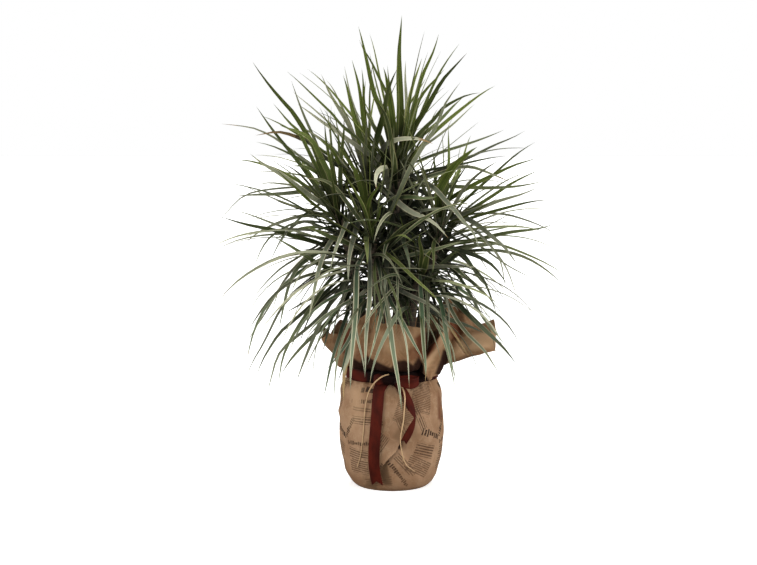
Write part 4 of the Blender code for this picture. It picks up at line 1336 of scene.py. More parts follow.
@dataclass(frozen=True)
class Foliage:
    """The canes and their leaves: fine meshes that keep the solids' form, and more leaves between them."""

    rule: GrowthRule = GrowthRule()
    view: View = View()
    stations: int = 15
    widest: float = 0.34
    slimming: tuple[float, float] = (0.30, 0.60)
    facing: float = 25.0
    lowest_row: float = 366.0
    row_spread: float = 26.0
    root_width: float = 0.36
    tip_power: float = 2.2
    root_channel: float = 0.42
    tip_channel: float = 0.12
    root_thickness: float = 0.0011
    tip_thickness: float = 0.0004
    sway: float = 0.0022
    root_ages: int = 17
    length_cost: float = 4.0
    depth_cost: float = 1.5
    front_depth: float = -0.13
    front_power: float = 0.55
    back_power: float = 0.9
    front_cool: float = 0.95
    back_cool: float = 0.25
    more_share: float = 1.15
    more_tries: int = 8
    more_width: tuple[float, float] = (0.9, 1.6)
    more_length: tuple[float, float] = (0.28, 0.76)
    straightened: float = 0.5
    more_droop: tuple[float, float] = (0.05, 0.4)
    clearance: float = 0.006
    twin_pixels: float = 12.0
    twin_depth: float = 0.14
    open_front: tuple[tuple[float, float], tuple[float, float]] = ((338.0, 318.0), (445.0, 400.0))
    reach: tuple[float, float, float] = (0.290, 0.286, 0.820)
    grid_cell: float = 0.018
    directions: int = 10
    dimming: float = 0.070
    open_range: tuple[float, float] = (0.20, 0.80)
    bark_sides: int = 32
    bark_rings: int = 150
    scar_pitch: float = 0.0075
    scar_depth: float = 0.0005

    def look(self, age: float, draw: float) -> Look:
        """A grown leaf's looks: margins of many widths, with a few dry tips and a few pale old leaves."""
        second, third, fourth = (draw * 7.31) % 1, (draw * 53.7) % 1, (draw * 211.3) % 1
        dryness = 0.7 * max(0.0, second - 0.75) * min(1.0, 1.5 * age)
        pale = 0.85 * max(0.0, third - 0.68) / 0.32 * min(1.0, 3.0 * age)
        return Look(age, draw, dryness, 0.10 + 0.34 * fourth, pale, 0.6 * second ** 2)

    def grown_midrib(self, leaf: PlacedLeaf) -> Midrib:
        """The middle line of a leaf that the growth rule made, turned a little more to the view.

        It ends where it would hang too low in the view.
        """
        form = leaf.form
        shares = np.linspace(0, 1, self.stations) ** (1.3 if form.bend < 1 else 1.0)
        lowest = self.lowest_row + self.row_spread * leaf.draw
        rows = self.view.seen(self.rule.line(leaf.root, form, shares)[0])[:, 1]
        kept = shares[np.argmax(rows > lowest)] if rows.max() > lowest else 1.0
        points, runs = self.rule.line(leaf.root, form, shares * kept)
        heading = math.radians(form.azimuth)
        level = np.tile((-math.sin(heading), math.cos(heading), 0.0), (self.stations, 1))
        look = self.look(leaf.age, leaf.draw)
        slimming = np.interp((leaf.draw * 97.1) % 1, (0, 1), self.slimming)
        slimming *= np.interp(leaf.age, (0, 0.6), (1.05, 1.0))
        roll = form.roll + self.facing * math.cos(heading)
        return Midrib(points, runs, level, shares, form.width * slimming, roll, look)

    def origin(self, leaf: TracedLeaf) -> tuple[int, np.ndarray]:
        """Finds where a traced leaf starts: the place near a crown that its line points back to best.

        Returns:
            The cane's number and the place.
        """
        first, second = self.view.place(leaf.seen[:2], leaf.depth / 2)[:, [0, 2]]
        best = (-math.inf, 0, np.zeros(3))
        for cane in CANES:
            for age in np.linspace(0, 1, self.root_ages):
                root = self.rule.cane_line(cane, [self.rule.share(cane, age)])[0]
                back = first - root[[0, 2]]
                length = float(np.hypot(*back))
                line_up = float(back @ (second - first)) / (length * float(np.hypot(*(second - first))))
                score = line_up - self.length_cost * length - self.depth_cost * abs(root[1] - leaf.depth / 2)
                if score > best[0]:
                    best = (score, cane.number, root)
        return best[1:]

    def traced_midrib(self, leaf: TracedLeaf, draw: float) -> tuple[int, Midrib]:
        """The middle line of a leaf that the view shows.

        Its depth runs from its cane's to its tip's, and its blade faces the viewer.

        Args:
            leaf: the leaf.
            draw: a number from 0 to 1 that its looks vary by.

        Returns:
            The cane's number and the line.
        """
        number, root = self.origin(leaf)
        in_front = leaf.depth < self.front_depth
        seen = np.array(leaf.seen, float)
        spread = np.concatenate([[0.15], 0.15 + np.cumsum(np.hypot(*np.diff(seen, axis=0).T))])
        spread = (spread / spread[-1]) ** (self.front_power if in_front else self.back_power)
        spread[0] = max(spread[0], 0.25)
        depths = root[1] + (leaf.depth - root[1]) * spread
        places = np.vstack([root, self.view.place(seen, depths)])
        fine = smooth_rows(spline(places, 120), 8)
        run = travelled(fine)
        shares = np.linspace(0, 1, self.stations)
        points = sampled(shares * run[-1], run, fine)
        runs = unit(np.gradient(points, axis=0))
        level = unit(np.cross(runs, np.array((0.0, 1.0, 0.0))))
        cool = self.front_cool if in_front else self.back_cool
        look = Look(leaf.age, draw, leaf.dryness, leaf.margin, leaf.pale, cool)
        return number, Midrib(points, runs, level, shares, leaf.width / 1000, 0.0, look)

    def clear(self, leaf: PlacedLeaf, walls: list[BVHTree]) -> bool:
        """Whether a further leaf stays in reach, clear of the walls, and off the front that shows bare."""
        points, _ = self.rule.line(leaf.root, leaf.form, np.linspace(0.08, 1, 14))
        if (np.abs(points) > np.array(self.reach)).any() or points[:, 2].min() < 0.012:
            return False
        seen = self.view.seen(points)
        over_front = ((seen > self.open_front[0]) & (seen < self.open_front[1])).all(axis=1)
        if (over_front & (points[:, 1] < 0)).any():
            return False
        places = [Vector(point) for point in points]
        for wall in walls:
            for place, after in zip(places, places[1:]):
                step = after - place
                if wall.ray_cast(place, step.normalized(), step.length)[0] is not None:
                    return False
                if wall.find_nearest(after, self.clearance)[0] is not None:
                    return False
        return True

    def alone(self, leaf: PlacedLeaf) -> bool:
        """Whether no traced leaf ends where this one does, in the view and in depth, to take its place."""
        tip = self.rule.line(leaf.root, leaf.form, np.array([1.0]))[0][0]
        ends = np.array([traced.seen[-1] for traced in TRACED], float)
        depths = np.array([traced.depth for traced in TRACED])
        beside = np.linalg.norm(ends - self.view.seen(tip[None])[0], axis=1) < self.twin_pixels
        return not (beside & (np.abs(depths - tip[1]) < self.twin_depth)).any()

    def further(self, cane: Cane, walls: list[BVHTree]) -> list[PlacedLeaf]:
        """More leaves for a head, between the solid's: narrower, mostly shorter, and bent in more ways."""
        made = []
        count = round(cane.leaves * self.more_share)
        for index in range(count):
            age = (index + 0.5) / count
            azimuth = (index + 0.5) * self.rule.golden_angle + self.rule.cane_turn * cane.number
            for attempt in range(self.more_tries):
                draw = np.random.default_rng((cane.number + 50, index, attempt))
                form = self.rule.grown(cane, age, azimuth + 15 * draw.normal(), draw, attempt)
                form = replace(
                    form,
                    rise=form.rise - self.straightened * form.droop,
                    droop=form.droop * draw.uniform(*self.more_droop),
                    bend=1.0,
                    width=form.width * draw.uniform(*self.more_width),
                    length=form.length * draw.uniform(*self.more_length),
                )
                leaf = PlacedLeaf(self.rule.root(cane, age, form.azimuth), form, age, float(draw.uniform()))
                if self.clear(leaf, walls):
                    made.append(leaf)
                    break
        return made

    def half_width(self, width: float, shares: np.ndarray) -> np.ndarray:
        """Half a blade's width: it swells softly to a third of its length, then tapers to the tip."""
        swelling = self.root_width + (1 - self.root_width) * smooth_step(shares, -0.1, self.widest)
        past = np.clip((shares - self.widest) / (1 - self.widest), 0, 1)
        return width / 2 * np.where(shares < self.widest, swelling, 1 - past ** self.tip_power)

    def blade(self, line: Midrib) -> np.ndarray:
        """One blade's sections: left edge, trough, right edge and keel at each station, drawn to a point.

        The trough lies below the line between the edges by a share of half the width.
        """
        runs, shares = line.runs, line.shares
        side = unit(line.level - runs * (runs * line.level).sum(axis=1)[:, None])
        above = np.cross(runs, side)
        twist = math.radians(line.roll) + 0.5 * (line.look.tint - 0.5) * shares
        turned_side = side * np.cos(twist)[:, None] + above * np.sin(twist)[:, None]
        turned_above = above * np.cos(twist)[:, None] - side * np.sin(twist)[:, None]
        sway = self.sway * np.sin(TURN * (1.4 * shares + line.look.tint)) * shares
        middle = line.points + turned_side * sway[:, None]
        half = self.half_width(line.width, shares)[:, None]
        channel = half * np.interp(shares, (0, 1), (self.root_channel, self.tip_channel))[:, None]
        thickness = np.interp(shares, (0, 1), (self.root_thickness, self.tip_thickness))[:, None]
        trough = middle - turned_above * channel
        left, right = middle - turned_side * half, middle + turned_side * half
        return np.stack([left, trough, right, trough - turned_above * thickness], axis=1)

    def openness(self, lines: list[Midrib]) -> np.ndarray:
        """How open to the light each station of each leaf is.

        Leaf area is gathered in a grid of cells. In each of ten directions, eight round about and upward
        twice, what lies before a cell dims the light by exp(-dimming * area). For half of them the grid is
        turned by an eighth of a turn.

        Args:
            lines: every leaf of the plant.

        Returns:
            A number from 0 to 1, in (leaves, stations).
        """
        points = np.stack([line.points for line in lines])
        area = np.stack([self.half_width(line.width, line.shares) for line in lines])
        area *= np.array([np.ptp(line.points, axis=0).max() for line in lines])[:, None]
        light = np.zeros(area.shape)
        for turn in (0.0, TURN / 8):
            turned = spun(points, turn)
            steps = np.floor((turned - turned.min(axis=(0, 1))) / self.grid_cell).astype(int)
            cells = tuple(np.moveaxis(steps, -1, 0))
            grid = np.zeros(steps.max(axis=(0, 1)) + 1)
            np.add.at(grid, cells, area)
            for axis in range(3):
                before = np.cumsum(grid, axis=axis)
                after = grid.sum(axis=axis, keepdims=True) - before
                light += np.exp(-after[cells] * self.dimming / self.grid_cell ** 2)
                if axis < 2:
                    light += np.exp(-(before - grid)[cells] * self.dimming / self.grid_cell ** 2)
        light /= self.directions
        LOG.info("light among the leaves: %s", np.round(np.percentile(light, (5, 50, 95)), 2))
        return smooth_step(light, *self.open_range)

    def leaves(self, cane: Cane, lines: list[Midrib], light: np.ndarray,
               finish: bpy.types.Material) -> bpy.types.Object:
        """All the leaves of one head as one mesh of closed blades.

        Args:
            cane: the head's cane.
            lines: its leaves.
            light: how open to the light each of their stations is.
            finish: their material.

        Returns:
            The new object.
        """
        rings = self.stations - 1
        tip = rings * 4
        quads = grid_quads(rings, 4, Around.CLOSED)
        parts = (quads, fan(tip, np.arange(tip - 4, tip))[:, ::-1], np.array([[3, 2, 1, 0]]))
        across = np.append(np.tile((-1.0, 0.0, 1.0, 0.0), rings), 0.0)
        blades, maps = [], []
        for line in lines:
            sections = self.blade(line)
            blades.append(np.vstack([sections[:-1].reshape(-1, 3), sections[-1, 1]]))
            maps.append(np.stack([across, np.append(np.repeat(line.shares[:-1], 4), 1.0)], axis=1))
        start = (np.arange(len(lines)) * (tip + 1))[:, None, None]
        faces = [(part[None] + start).reshape(-1, part.shape[1]) for part in parts]
        corner_map = np.vstack(maps)[np.concatenate([part.reshape(-1) for part in faces])]
        values = {}
        for name in ("age", "tint", "dryness", "margin", "pale", "cool"):
            each = [getattr(line.look, name) for line in lines]
            values[name] = (Domain.FACE, np.concatenate([np.repeat(each, len(part)) for part in parts]))
        under_side = np.tile((0.0, 0.0, 1.0, 1.0), rings - 1)
        under = [np.tile(side, len(lines)) for side in (under_side, under_side[:4], np.zeros(1))]
        values["under"] = (Domain.FACE, np.concatenate(under))
        values["open"] = (Domain.POINT, np.hstack([np.repeat(light[:, :-1], 4, axis=1), light[:, -1:]]))
        return mesh_piece(cane.node + "_leaves", np.vstack(blades), faces, finish, corner_map, values, 60.0)

    def bark(self, cane: Cane, finish: bpy.types.Material) -> bpy.types.Object:
        """A cane's stem: a tube along its line, stepped by the rings that its dropped leaves left."""
        shares = np.linspace(0, 1, self.bark_rings)
        line = self.rule.cane_line(cane, shares)
        height = line[:, 2] - line[0, 2]
        angles = np.linspace(0, TURN, self.bark_sides, endpoint=False)
        scar = (height[:, None] / self.scar_pitch + 0.25 * np.sin(angles + cane.number)) % 1
        radius = self.rule.radius(shares)[:, None] - self.scar_depth * scar ** 3
        points = line[:, None] + radius[..., None] * rounded(1.0, angles, 0.0)
        points = np.vstack([points.reshape(-1, 3), line[0], line[-1]])
        faces = tube_faces(self.bark_rings, self.bark_sides)
        reach = np.linspace(0, TURN * self.rule.cane_radius, self.bark_sides + 1)
        uv = wrapped_map(reach, height, faces[1].size)
        return mesh_piece(cane.node + "_stem", points, faces, finish, uv)

    def build(self, frame: dict, leaf_finish: bpy.types.Material, bark_finish: bpy.types.Material) -> None:
        """Builds every cane with its leaves round its solid."""
        walls = [solid_tree(frame, node) for node in ("paper_wrap", "nursery_pot", "ribbon_bow")]
        draw = np.random.default_rng(404)
        lines = [self.traced_midrib(leaf, float(draw.uniform())) for leaf in TRACED]
        for cane in CANES:
            found = self.rule.leaves_in(solid_tree(frame, cane.node), cane)
            more = self.further(cane, walls)
            grown = [leaf for leaf in found + more if self.alone(leaf)]
            LOG.info("%s: %d leaves found, %d more, %d kept", cane.node, len(found), len(more), len(grown))
            lines += [(cane.number, self.grown_midrib(leaf)) for leaf in grown]
        light = self.openness([line for _, line in lines])
        for cane in CANES:
            own = [index for index, (number, _) in enumerate(lines) if number == cane.number]
            leaves = self.leaves(cane, [lines[index][1] for index in own], light[own], leaf_finish)
            settle(leaves, "leaf", cane.node)
            settle(self.bark(cane, bark_finish), "cane_bark")


# The pot and its soil

def turned_body(name: str, profile: np.ndarray, steps: int, material: bpy.types.Material,
                swell: float = 0.0, seed: int = 0) -> bpy.types.Object:
    """A closed round body from a profile of (radius, height) whose ends lie on the axis.

    Args:
        name: the piece's name.
        profile: its points, from the bottom of the axis to the top.
        steps: how many sides it has.
        material: its finish.
        swell: how far soft noise lifts its upper side, in metres.
        seed: the noise's seed.

    Returns:
        The new object.
    """
    angles = np.linspace(0, TURN, steps, endpoint=False)
    rings = rounded(profile[1:-1, :1], angles, profile[1:-1, 1:])
    points = np.vstack([rings.reshape(-1, 3), (0, 0, profile[0, 1]), (0, 0, profile[-1, 1])])
    if swell:
        top = smooth_step(points[:, 2], profile[:, 1].max() - 0.012, profile[:, 1].max() - 0.004)
        crumbs = rolling(points[:, :2], 0.012, seed) + 0.6 * creased(points[:, :2], 0.006, seed)
        points[:, 2] += top * swell * crumbs
    return mesh_piece(name, points, tube_faces(len(rings), steps), material)


@dataclass(frozen=True)
class PottedSoil:
    """The nursery pot, its soil and the bits in the soil, at the solids' sizes."""

    base_height: float = 0.0015
    pot_height: float = 0.178
    base_radius: float = 0.060
    top_radius: float = 0.078
    wall: float = 0.0016
    rim_height: float = 0.014
    rim_width: float = 0.0035
    soil_drop: float = 0.016
    crown: float = 0.004
    gap: float = 0.0003
    sides: int = 96
    bits: int = 420
    bit_size: tuple[float, float] = (0.0016, 0.0048)
    perlite_share: float = 0.10

    @property
    def soil_height(self) -> float:
        """Height of the soil where it meets the pot."""
        return self.base_height + self.pot_height - self.soil_drop

    @property
    def soil_radius(self) -> float:
        """Radius of the soil at its top."""
        slope = (self.top_radius - self.base_radius) / (self.pot_height - self.wall)
        return self.base_radius - self.wall - 2 * self.gap + slope * (self.soil_height - self.base_height)

    def pot(self, finish: bpy.types.Material) -> bpy.types.Object:
        """The pot: a tapered cup with a rounded foot and a turned-out, rounded rim."""
        low, high = self.base_height, self.base_height + self.pot_height
        rim = self.top_radius + self.rim_width
        round_off = 0.0012
        profile = np.array([
            (0, low),
            (self.base_radius - 0.002, low),
            (self.base_radius, low + 0.0015),
            (self.base_radius + 0.0004, low + 0.004),
            (self.top_radius, high - self.rim_height),
            (rim - round_off, high - self.rim_height),
            (rim, high - self.rim_height + round_off),
            (rim, high - round_off),
            (rim - round_off, high),
            (self.top_radius - self.wall + round_off, high),
            (self.top_radius - self.wall, high - round_off),
            (self.base_radius - self.wall, low + self.wall),
            (0, low + self.wall),
        ])
        return turned_body("pot", profile, self.sides, finish)

    def soil(self, finish: bpy.types.Material) -> bpy.types.Object:
        """The soil: a slightly crowned body with a crumbly top."""
        low = self.base_height + self.wall + self.gap
        inner = self.base_radius - self.wall - 2 * self.gap
        shares = np.linspace(0, 1, 26)[:-1]
        top = np.stack([
            self.soil_radius * (1 - shares),
            self.soil_height + self.crown * smooth_step(shares, 0, 0.5),
        ], axis=1)
        profile = np.vstack([[(0, low), (inner, low)], top, [(0, self.soil_height + self.crown)]])
        return turned_body("soil_bed", profile, self.sides, finish, swell=0.0010, seed=31)

    def scatter(self, finish: bpy.types.Material) -> bpy.types.Object:
        """Bark chips and perlite on the soil: squashed eight-sided grains, half sunk in it."""
        draw = np.random.default_rng(77)
        radius = self.soil_radius * 0.96 * np.sqrt(draw.uniform(0, 1, self.bits))
        angle = draw.uniform(0, TURN, self.bits)
        height = self.soil_height + self.crown * smooth_step(1 - radius / self.soil_radius, 0, 0.5) + 0.0006
        centre = rounded(radius, angle, height)
        grain = np.array([(1, 0, 0), (0, 1, 0), (-1, 0, 0), (0, -1, 0), (0, 0, 1), (0, 0, -1)], float)
        perlite = draw.uniform(0, 1, self.bits) < self.perlite_share
        size = draw.uniform(*self.bit_size, self.bits)[:, None] * np.stack([
            np.ones(self.bits),
            draw.uniform(0.4, 0.9, self.bits),
            draw.uniform(0.25, 0.5, self.bits),
        ], axis=1)
        size[perlite] = draw.uniform(0.0010, 0.0018, perlite.sum())[:, None]
        turn = draw.uniform(0, TURN, self.bits)
        shape = grain[None] * size[:, None] * draw.uniform(0.75, 1.25, (self.bits, 6, 1))
        points = centre[:, None] + spun(shape, turn[:, None])
        ring = np.arange(4)
        sides = np.vstack([fan(4, ring), fan(5, ring)[:, ::-1]])
        faces = (sides[None] + (np.arange(self.bits) * 6)[:, None, None]).reshape(-1, 3)
        values = {"perlite": (Domain.FACE, np.repeat(perlite.astype(float), len(sides)))}
        return mesh_piece("soil_bits", points, [faces], finish, values=values, sharp=20.0)

    def build(self) -> None:
        """Builds the three pieces."""
        settle(self.pot(PotFinish().material()), "pot_plastic", "nursery_pot")
        settle(self.soil(SoilFinish().material()), "potting_soil", "soil")
        settle(self.scatter(ChipFinish().material()), "potting_soil")


# The wrap

def distance_from(start: tuple[float, float], end: tuple[float, float], seen: np.ndarray) -> np.ndarray:
    """How many pixels each place seen lies from the line between two."""
    line = np.subtract(end, start)
    offset = seen - start
    along = np.clip(offset @ line / (line @ line), 0, 1)
    return np.linalg.norm(offset - along[..., None] * line, axis=-1)


@dataclass(frozen=True)
class Crease:
    """A ridge in the paper along a line in the view, or a valley where its height is below 0.

    start and end are pixels. The ridge falls away over left and right pixels on the two sides of a line that
    runs down the view. Its height is in metres towards the viewer.
    """

    start: tuple[float, float]
    end: tuple[float, float]
    height: float
    left: float
    right: float

    def relief(self, seen: np.ndarray) -> np.ndarray:
        """Its height at each place seen: it falls evenly with the distance from the line."""
        line = np.subtract(self.end, self.start)
        offset = seen - self.start
        distance = distance_from(self.start, self.end, seen)
        side = line[0] * offset[..., 1] - line[1] * offset[..., 0]
        return self.height * np.clip(1 - distance / np.where(side > 0, self.left, self.right), 0, 1)


class Tone(Enum):
    """Which painted shade, shadow or light a patch of the paper gets. Each is an attribute that its finish
    reads.
    """

    FOLD = "fold"
    DAMP = "damp"
    RECESS = "recess"
    LIT = "lit"


@dataclass(frozen=True)
class Patch:
    """A patch of painted shade, shadow or light on the front of the paper, by its corners in the view."""

    tone: Tone
    corners: Path
    softness: float = 4.0
    strength: float = 1.0
    reach: float = -0.005


@dataclass(frozen=True)
class Slump:
    """A part of the collar that bulges out and sags, round a compass angle and to both sides of it."""

    degrees: float
    half_width: float
    drop: float
    reach: float

    def share(self, degrees: np.ndarray) -> np.ndarray:
        """How much of it there is at each angle."""
        away = np.abs((degrees - self.degrees + 180) % 360 - 180)
        return smooth_step(-away, -self.half_width, 12 - self.half_width)


@dataclass(frozen=True)
class Swell:
    """A soft bump or dent in the bag, round a compass angle and a height."""

    degrees: float
    height: float
    reach: float
    half_width: float
    half_height: float

    def relief(self, degrees: np.ndarray, height: np.ndarray) -> np.ndarray:
        """How far it moves the paper outwards."""
        away = ((degrees - self.degrees + 180) % 360 - 180) / self.half_width
        return self.reach * np.exp(-away ** 2 - ((height - self.height) / self.half_height) ** 2)


def inside(seen: np.ndarray, corners: Path, softness: float) -> np.ndarray:
    """1 inside a polygon in the view and 0 outside, with a soft edge.

    Args:
        seen: columns and rows, along the last axis.
        corners: the polygon's corners, in order.
        softness: how many pixels wide the edge is.

    Returns:
        A number for each place.
    """
    nearest = np.full(seen.shape[:-1], np.inf)
    within = np.zeros(seen.shape[:-1], bool)
    column, row = seen[..., 0], seen[..., 1]
    for first, second in zip(corners, corners[1:] + corners[:1]):
        nearest = np.minimum(nearest, distance_from(first, second, seen))
        spans = (row > first[1]) != (row > second[1])
        right, down = np.subtract(second, first)
        edge = first[0] + (row - first[1]) * right / (down if down else 1.0)
        within ^= spans & (column < edge)
    return smooth_step(np.where(within, nearest, -nearest), -softness / 2, softness / 2)


@dataclass(frozen=True)
class PaperWrap:
    """The kraft paper: a bag round the pot, drawn in at the neck, and a creased collar above it."""

    view: View = View()
    sheet: float = 0.0006
    neck_radius: float = 0.0795
    neck_low: float = 0.193
    neck_high: float = 0.217
    outline: Path = (
        (0.000, 0.065), (0.006, 0.073), (0.022, 0.0815), (0.050, 0.0895), (0.095, 0.0945),
        (0.140, 0.094), (0.172, 0.0885), (0.193, 0.0795), (0.217, 0.0795),
    )
    fold_lines: Path3 = (
        (-90, 0.116, 0.304), (-76, 0.106, 0.299), (-60, 0.122, 0.293), (-50, 0.084, 0.246),
        (-30, 0.108, 0.286), (-22, 0.136, 0.240), (-6, 0.184, 0.239), (12, 0.190, 0.291),
        (21, 0.166, 0.278), (32, 0.122, 0.328), (51, 0.122, 0.305), (76, 0.124, 0.268),
        (100, 0.110, 0.290), (126, 0.130, 0.266), (150, 0.112, 0.288), (170, 0.118, 0.262),
        (184, 0.124, 0.284), (194, 0.132, 0.262), (202, 0.123, 0.276), (214, 0.098, 0.278),
        (228, 0.106, 0.300), (246, 0.078, 0.325), (259, 0.110, 0.303),
    )
    billow: float = 0.015
    billow_rise: float = 0.6
    slumps: tuple[Slump, ...] = (
        Slump(-41, 21, 0.025, 0.007), Slump(-100, 44, 0.012, 0.009), Slump(191, 20, 0.014, 0.0008),
    )
    swells: tuple[Swell, ...] = (
        Swell(182, 0.186, 0.0075, 30, 0.020),
        Swell(180, 0.132, 0.0030, 22, 0.007),
        Swell(-4, 0.142, -0.0030, 30, 0.018),
        Swell(176, 0.030, 0.0025, 40, 0.012),
        Swell(-60, 0.120, 0.0020, 24, 0.030),
        Swell(-132, 0.075, 0.0022, 22, 0.030),
    )
    pleat: float = 0.0012
    gather: float = 0.0050
    flare: float = 0.85
    columns: int = 320
    base_rows: int = 6
    bag_rows: int = 62
    collar_rows: int = 58
    bag_crumple: float = 0.0016
    collar_crumple: float = 0.0042
    creases: tuple[Crease, ...] = (
        Crease((353, 326), (354, 364), 0.006, 2.0, 26),
        Crease((339, 328), (341, 354), -0.005, 7, 3),
        Crease((413, 328), (418, 358), 0.004, 22, 2.5),
        Crease((442, 330), (424, 362), 0.007, 3, 14),
        Crease((450, 342), (441, 370), -0.009, 4, 9),
        Crease((430, 316), (421, 352), -0.006, 8, 6),
        Crease((452, 314), (462, 340), -0.007, 4, 10),
        Crease((462, 319), (466, 345), 0.005, 6, 24),
        Crease((378, 342), (394, 356), 0.0025, 5, 8),
        Crease((370, 334), (366, 352), -0.002, 6, 8),
        Crease((426, 362), (422, 380), 0.004, 4, 4),
        Crease((433, 362), (430, 381), 0.0035, 3, 4),
        Crease((418, 364), (419, 378), -0.003, 3, 4),
        Crease((436.5, 383), (438, 426), 0.0030, 26, 1.6),
        Crease((352, 384), (347, 418), -0.0030, 6, 9),
        Crease((343, 384), (341, 424), 0.0034, 4, 8),
        Crease((428, 384), (427, 404), -0.0028, 5, 6),
        Crease((388, 453), (400, 447), -0.0030, 6, 5),
        Crease((400, 447), (417, 473), -0.0022, 3, 12),
        Crease((388, 453), (380, 474), -0.0020, 4, 6),
        Crease((362, 440), (352, 470), 0.0024, 12, 8),
        Crease((424, 430), (432, 470), 0.0026, 12, 7),
        Crease((372, 468), (364, 487), -0.0030, 5, 8),
    )
    patches: tuple[Patch, ...] = (
        Patch(Tone.FOLD, ((415, 338), (424, 331), (430, 318), (436, 311), (442, 330), (434, 350), (424, 362),
                          (417, 352))),
        Patch(Tone.FOLD, ((451, 313), (457, 318), (466, 327), (461, 338), (452, 342), (449, 325))),
        Patch(Tone.RECESS, ((443, 350), (450, 347), (449, 360), (440, 376), (435, 374), (440, 361)), 2.5),
        Patch(Tone.RECESS, ((424, 332), (441, 330), (428, 353), (424, 356)), 5.0, 0.7, 0.13),
        Patch(Tone.FOLD, ((356, 342), (366, 350), (372, 360), (354, 362)), 4.0, 0.6),
        Patch(Tone.FOLD, ((408, 350), (419, 344), (420, 358), (410, 362)), 4.0, 0.7),
        Patch(Tone.FOLD, ((337, 328), (353, 327), (353, 350), (345, 358), (339, 346))),
        Patch(Tone.FOLD, ((438, 383), (444, 385), (446, 410), (443, 421), (438, 419)), 3.0, 0.9, -0.030),
        Patch(Tone.RECESS, ((353, 358), (360, 362), (366, 355), (370, 358), (382, 364), (391, 368),
                            (397, 361), (405, 360), (413, 365), (419, 356), (424, 366), (423, 379),
                            (364, 379), (352, 372)), 3.0),
        Patch(Tone.DAMP, ((387, 455), (379, 463), (379, 473), (385, 485), (392, 486), (388, 469)), 3.0),
        Patch(Tone.DAMP, ((372, 475), (364, 486), (377, 489), (376, 481)), 3.0),
        Patch(Tone.RECESS, ((397, 444), (402, 442), (401, 450), (398, 450)), 2.0),
        Patch(Tone.DAMP, ((346, 366), (353, 372), (352, 384), (342, 386), (342, 372)), 4.0, 0.5),
        Patch(Tone.LIT, ((463, 336), (496, 330), (497, 346), (470, 352), (452, 358), (456, 344)), 6.0, 0.7),
        Patch(Tone.LIT, ((442, 331), (450, 326), (447, 338), (432, 362), (424, 372), (424, 362), (435, 350)),
              4.0, 0.5),
        Patch(Tone.LIT, ((376, 330), (412, 336), (408, 350), (384, 350)), 9.0, 0.35),
        Patch(Tone.LIT, ((352, 326), (360, 326), (357, 352), (352, 356)), 4.0, 0.4),
        Patch(Tone.LIT, ((352, 388), (364, 386), (362, 420), (350, 430)), 8.0, 0.25),
    )
    # painted shadow on the flap: under its free edge, under the knot, and where leaves shade it
    flap_patches: tuple[Patch, ...] = (
        Patch(Tone.DAMP, ((396, 417), (413, 412), (405, 438), (399, 443), (393, 436), (402, 424)),
              5.0, 0.55),
        Patch(Tone.DAMP, ((388, 382), (396, 388), (402, 399), (396, 400), (386, 392)), 6.0, 0.35),
        Patch(Tone.DAMP, ((384, 384), (404, 398), (414, 412), (400, 440), (384, 458)), 14.0, 0.25),
    )

    def widest(self) -> float:
        """The bag's largest radius."""
        return max(radius for _, radius in self.outline)

    def fold(self, degrees: np.ndarray) -> np.ndarray:
        """1 on a fold line and -1 halfway to the next, along a sine between them."""
        ridges = np.array([line[0] for line in self.fold_lines], float)
        knots = np.append(ridges, ridges[0] + 360)
        valleys = (knots[:-1] + knots[1:]) / 2
        angles = np.concatenate([knots, valleys])
        heights = np.concatenate([np.ones(len(knots)), -np.ones(len(valleys))])
        order = np.argsort(angles)
        return np.sin(math.pi / 2 * np.interp(degrees, angles[order], heights[order]))

    def edge(self, degrees: np.ndarray) -> tuple[np.ndarray, np.ndarray]:
        """Reach and height of the collar's free edge at each angle, straight between its fold lines."""
        lines = np.array(self.fold_lines + ((self.fold_lines[0][0] + 360, *self.fold_lines[0][1:]),))
        return np.interp(degrees, lines[:, 0], lines[:, 1]), np.interp(degrees, lines[:, 0], lines[:, 2])

    def bag_profile(self) -> np.ndarray:
        """Rows of (radius, height) up the bag, evenly spaced along its rounded outline."""
        outline = np.array(self.outline)[:, ::-1]
        run = travelled(outline)
        return smooth_rows(sampled(np.linspace(0, run[-1], self.bag_rows), run, outline), 2)

    def near_side(self, points: np.ndarray, reach: float = -0.005) -> np.ndarray:
        """1 on the part of the paper that the view shows, up to a depth, and 0 behind it."""
        wing = smooth_step(points[..., 0], 0.06, 0.10) * smooth_step(points[..., 2], 0.205, 0.225)
        return smooth_step(reach + 0.095 * wing - points[..., 1], -0.01, 0.01)

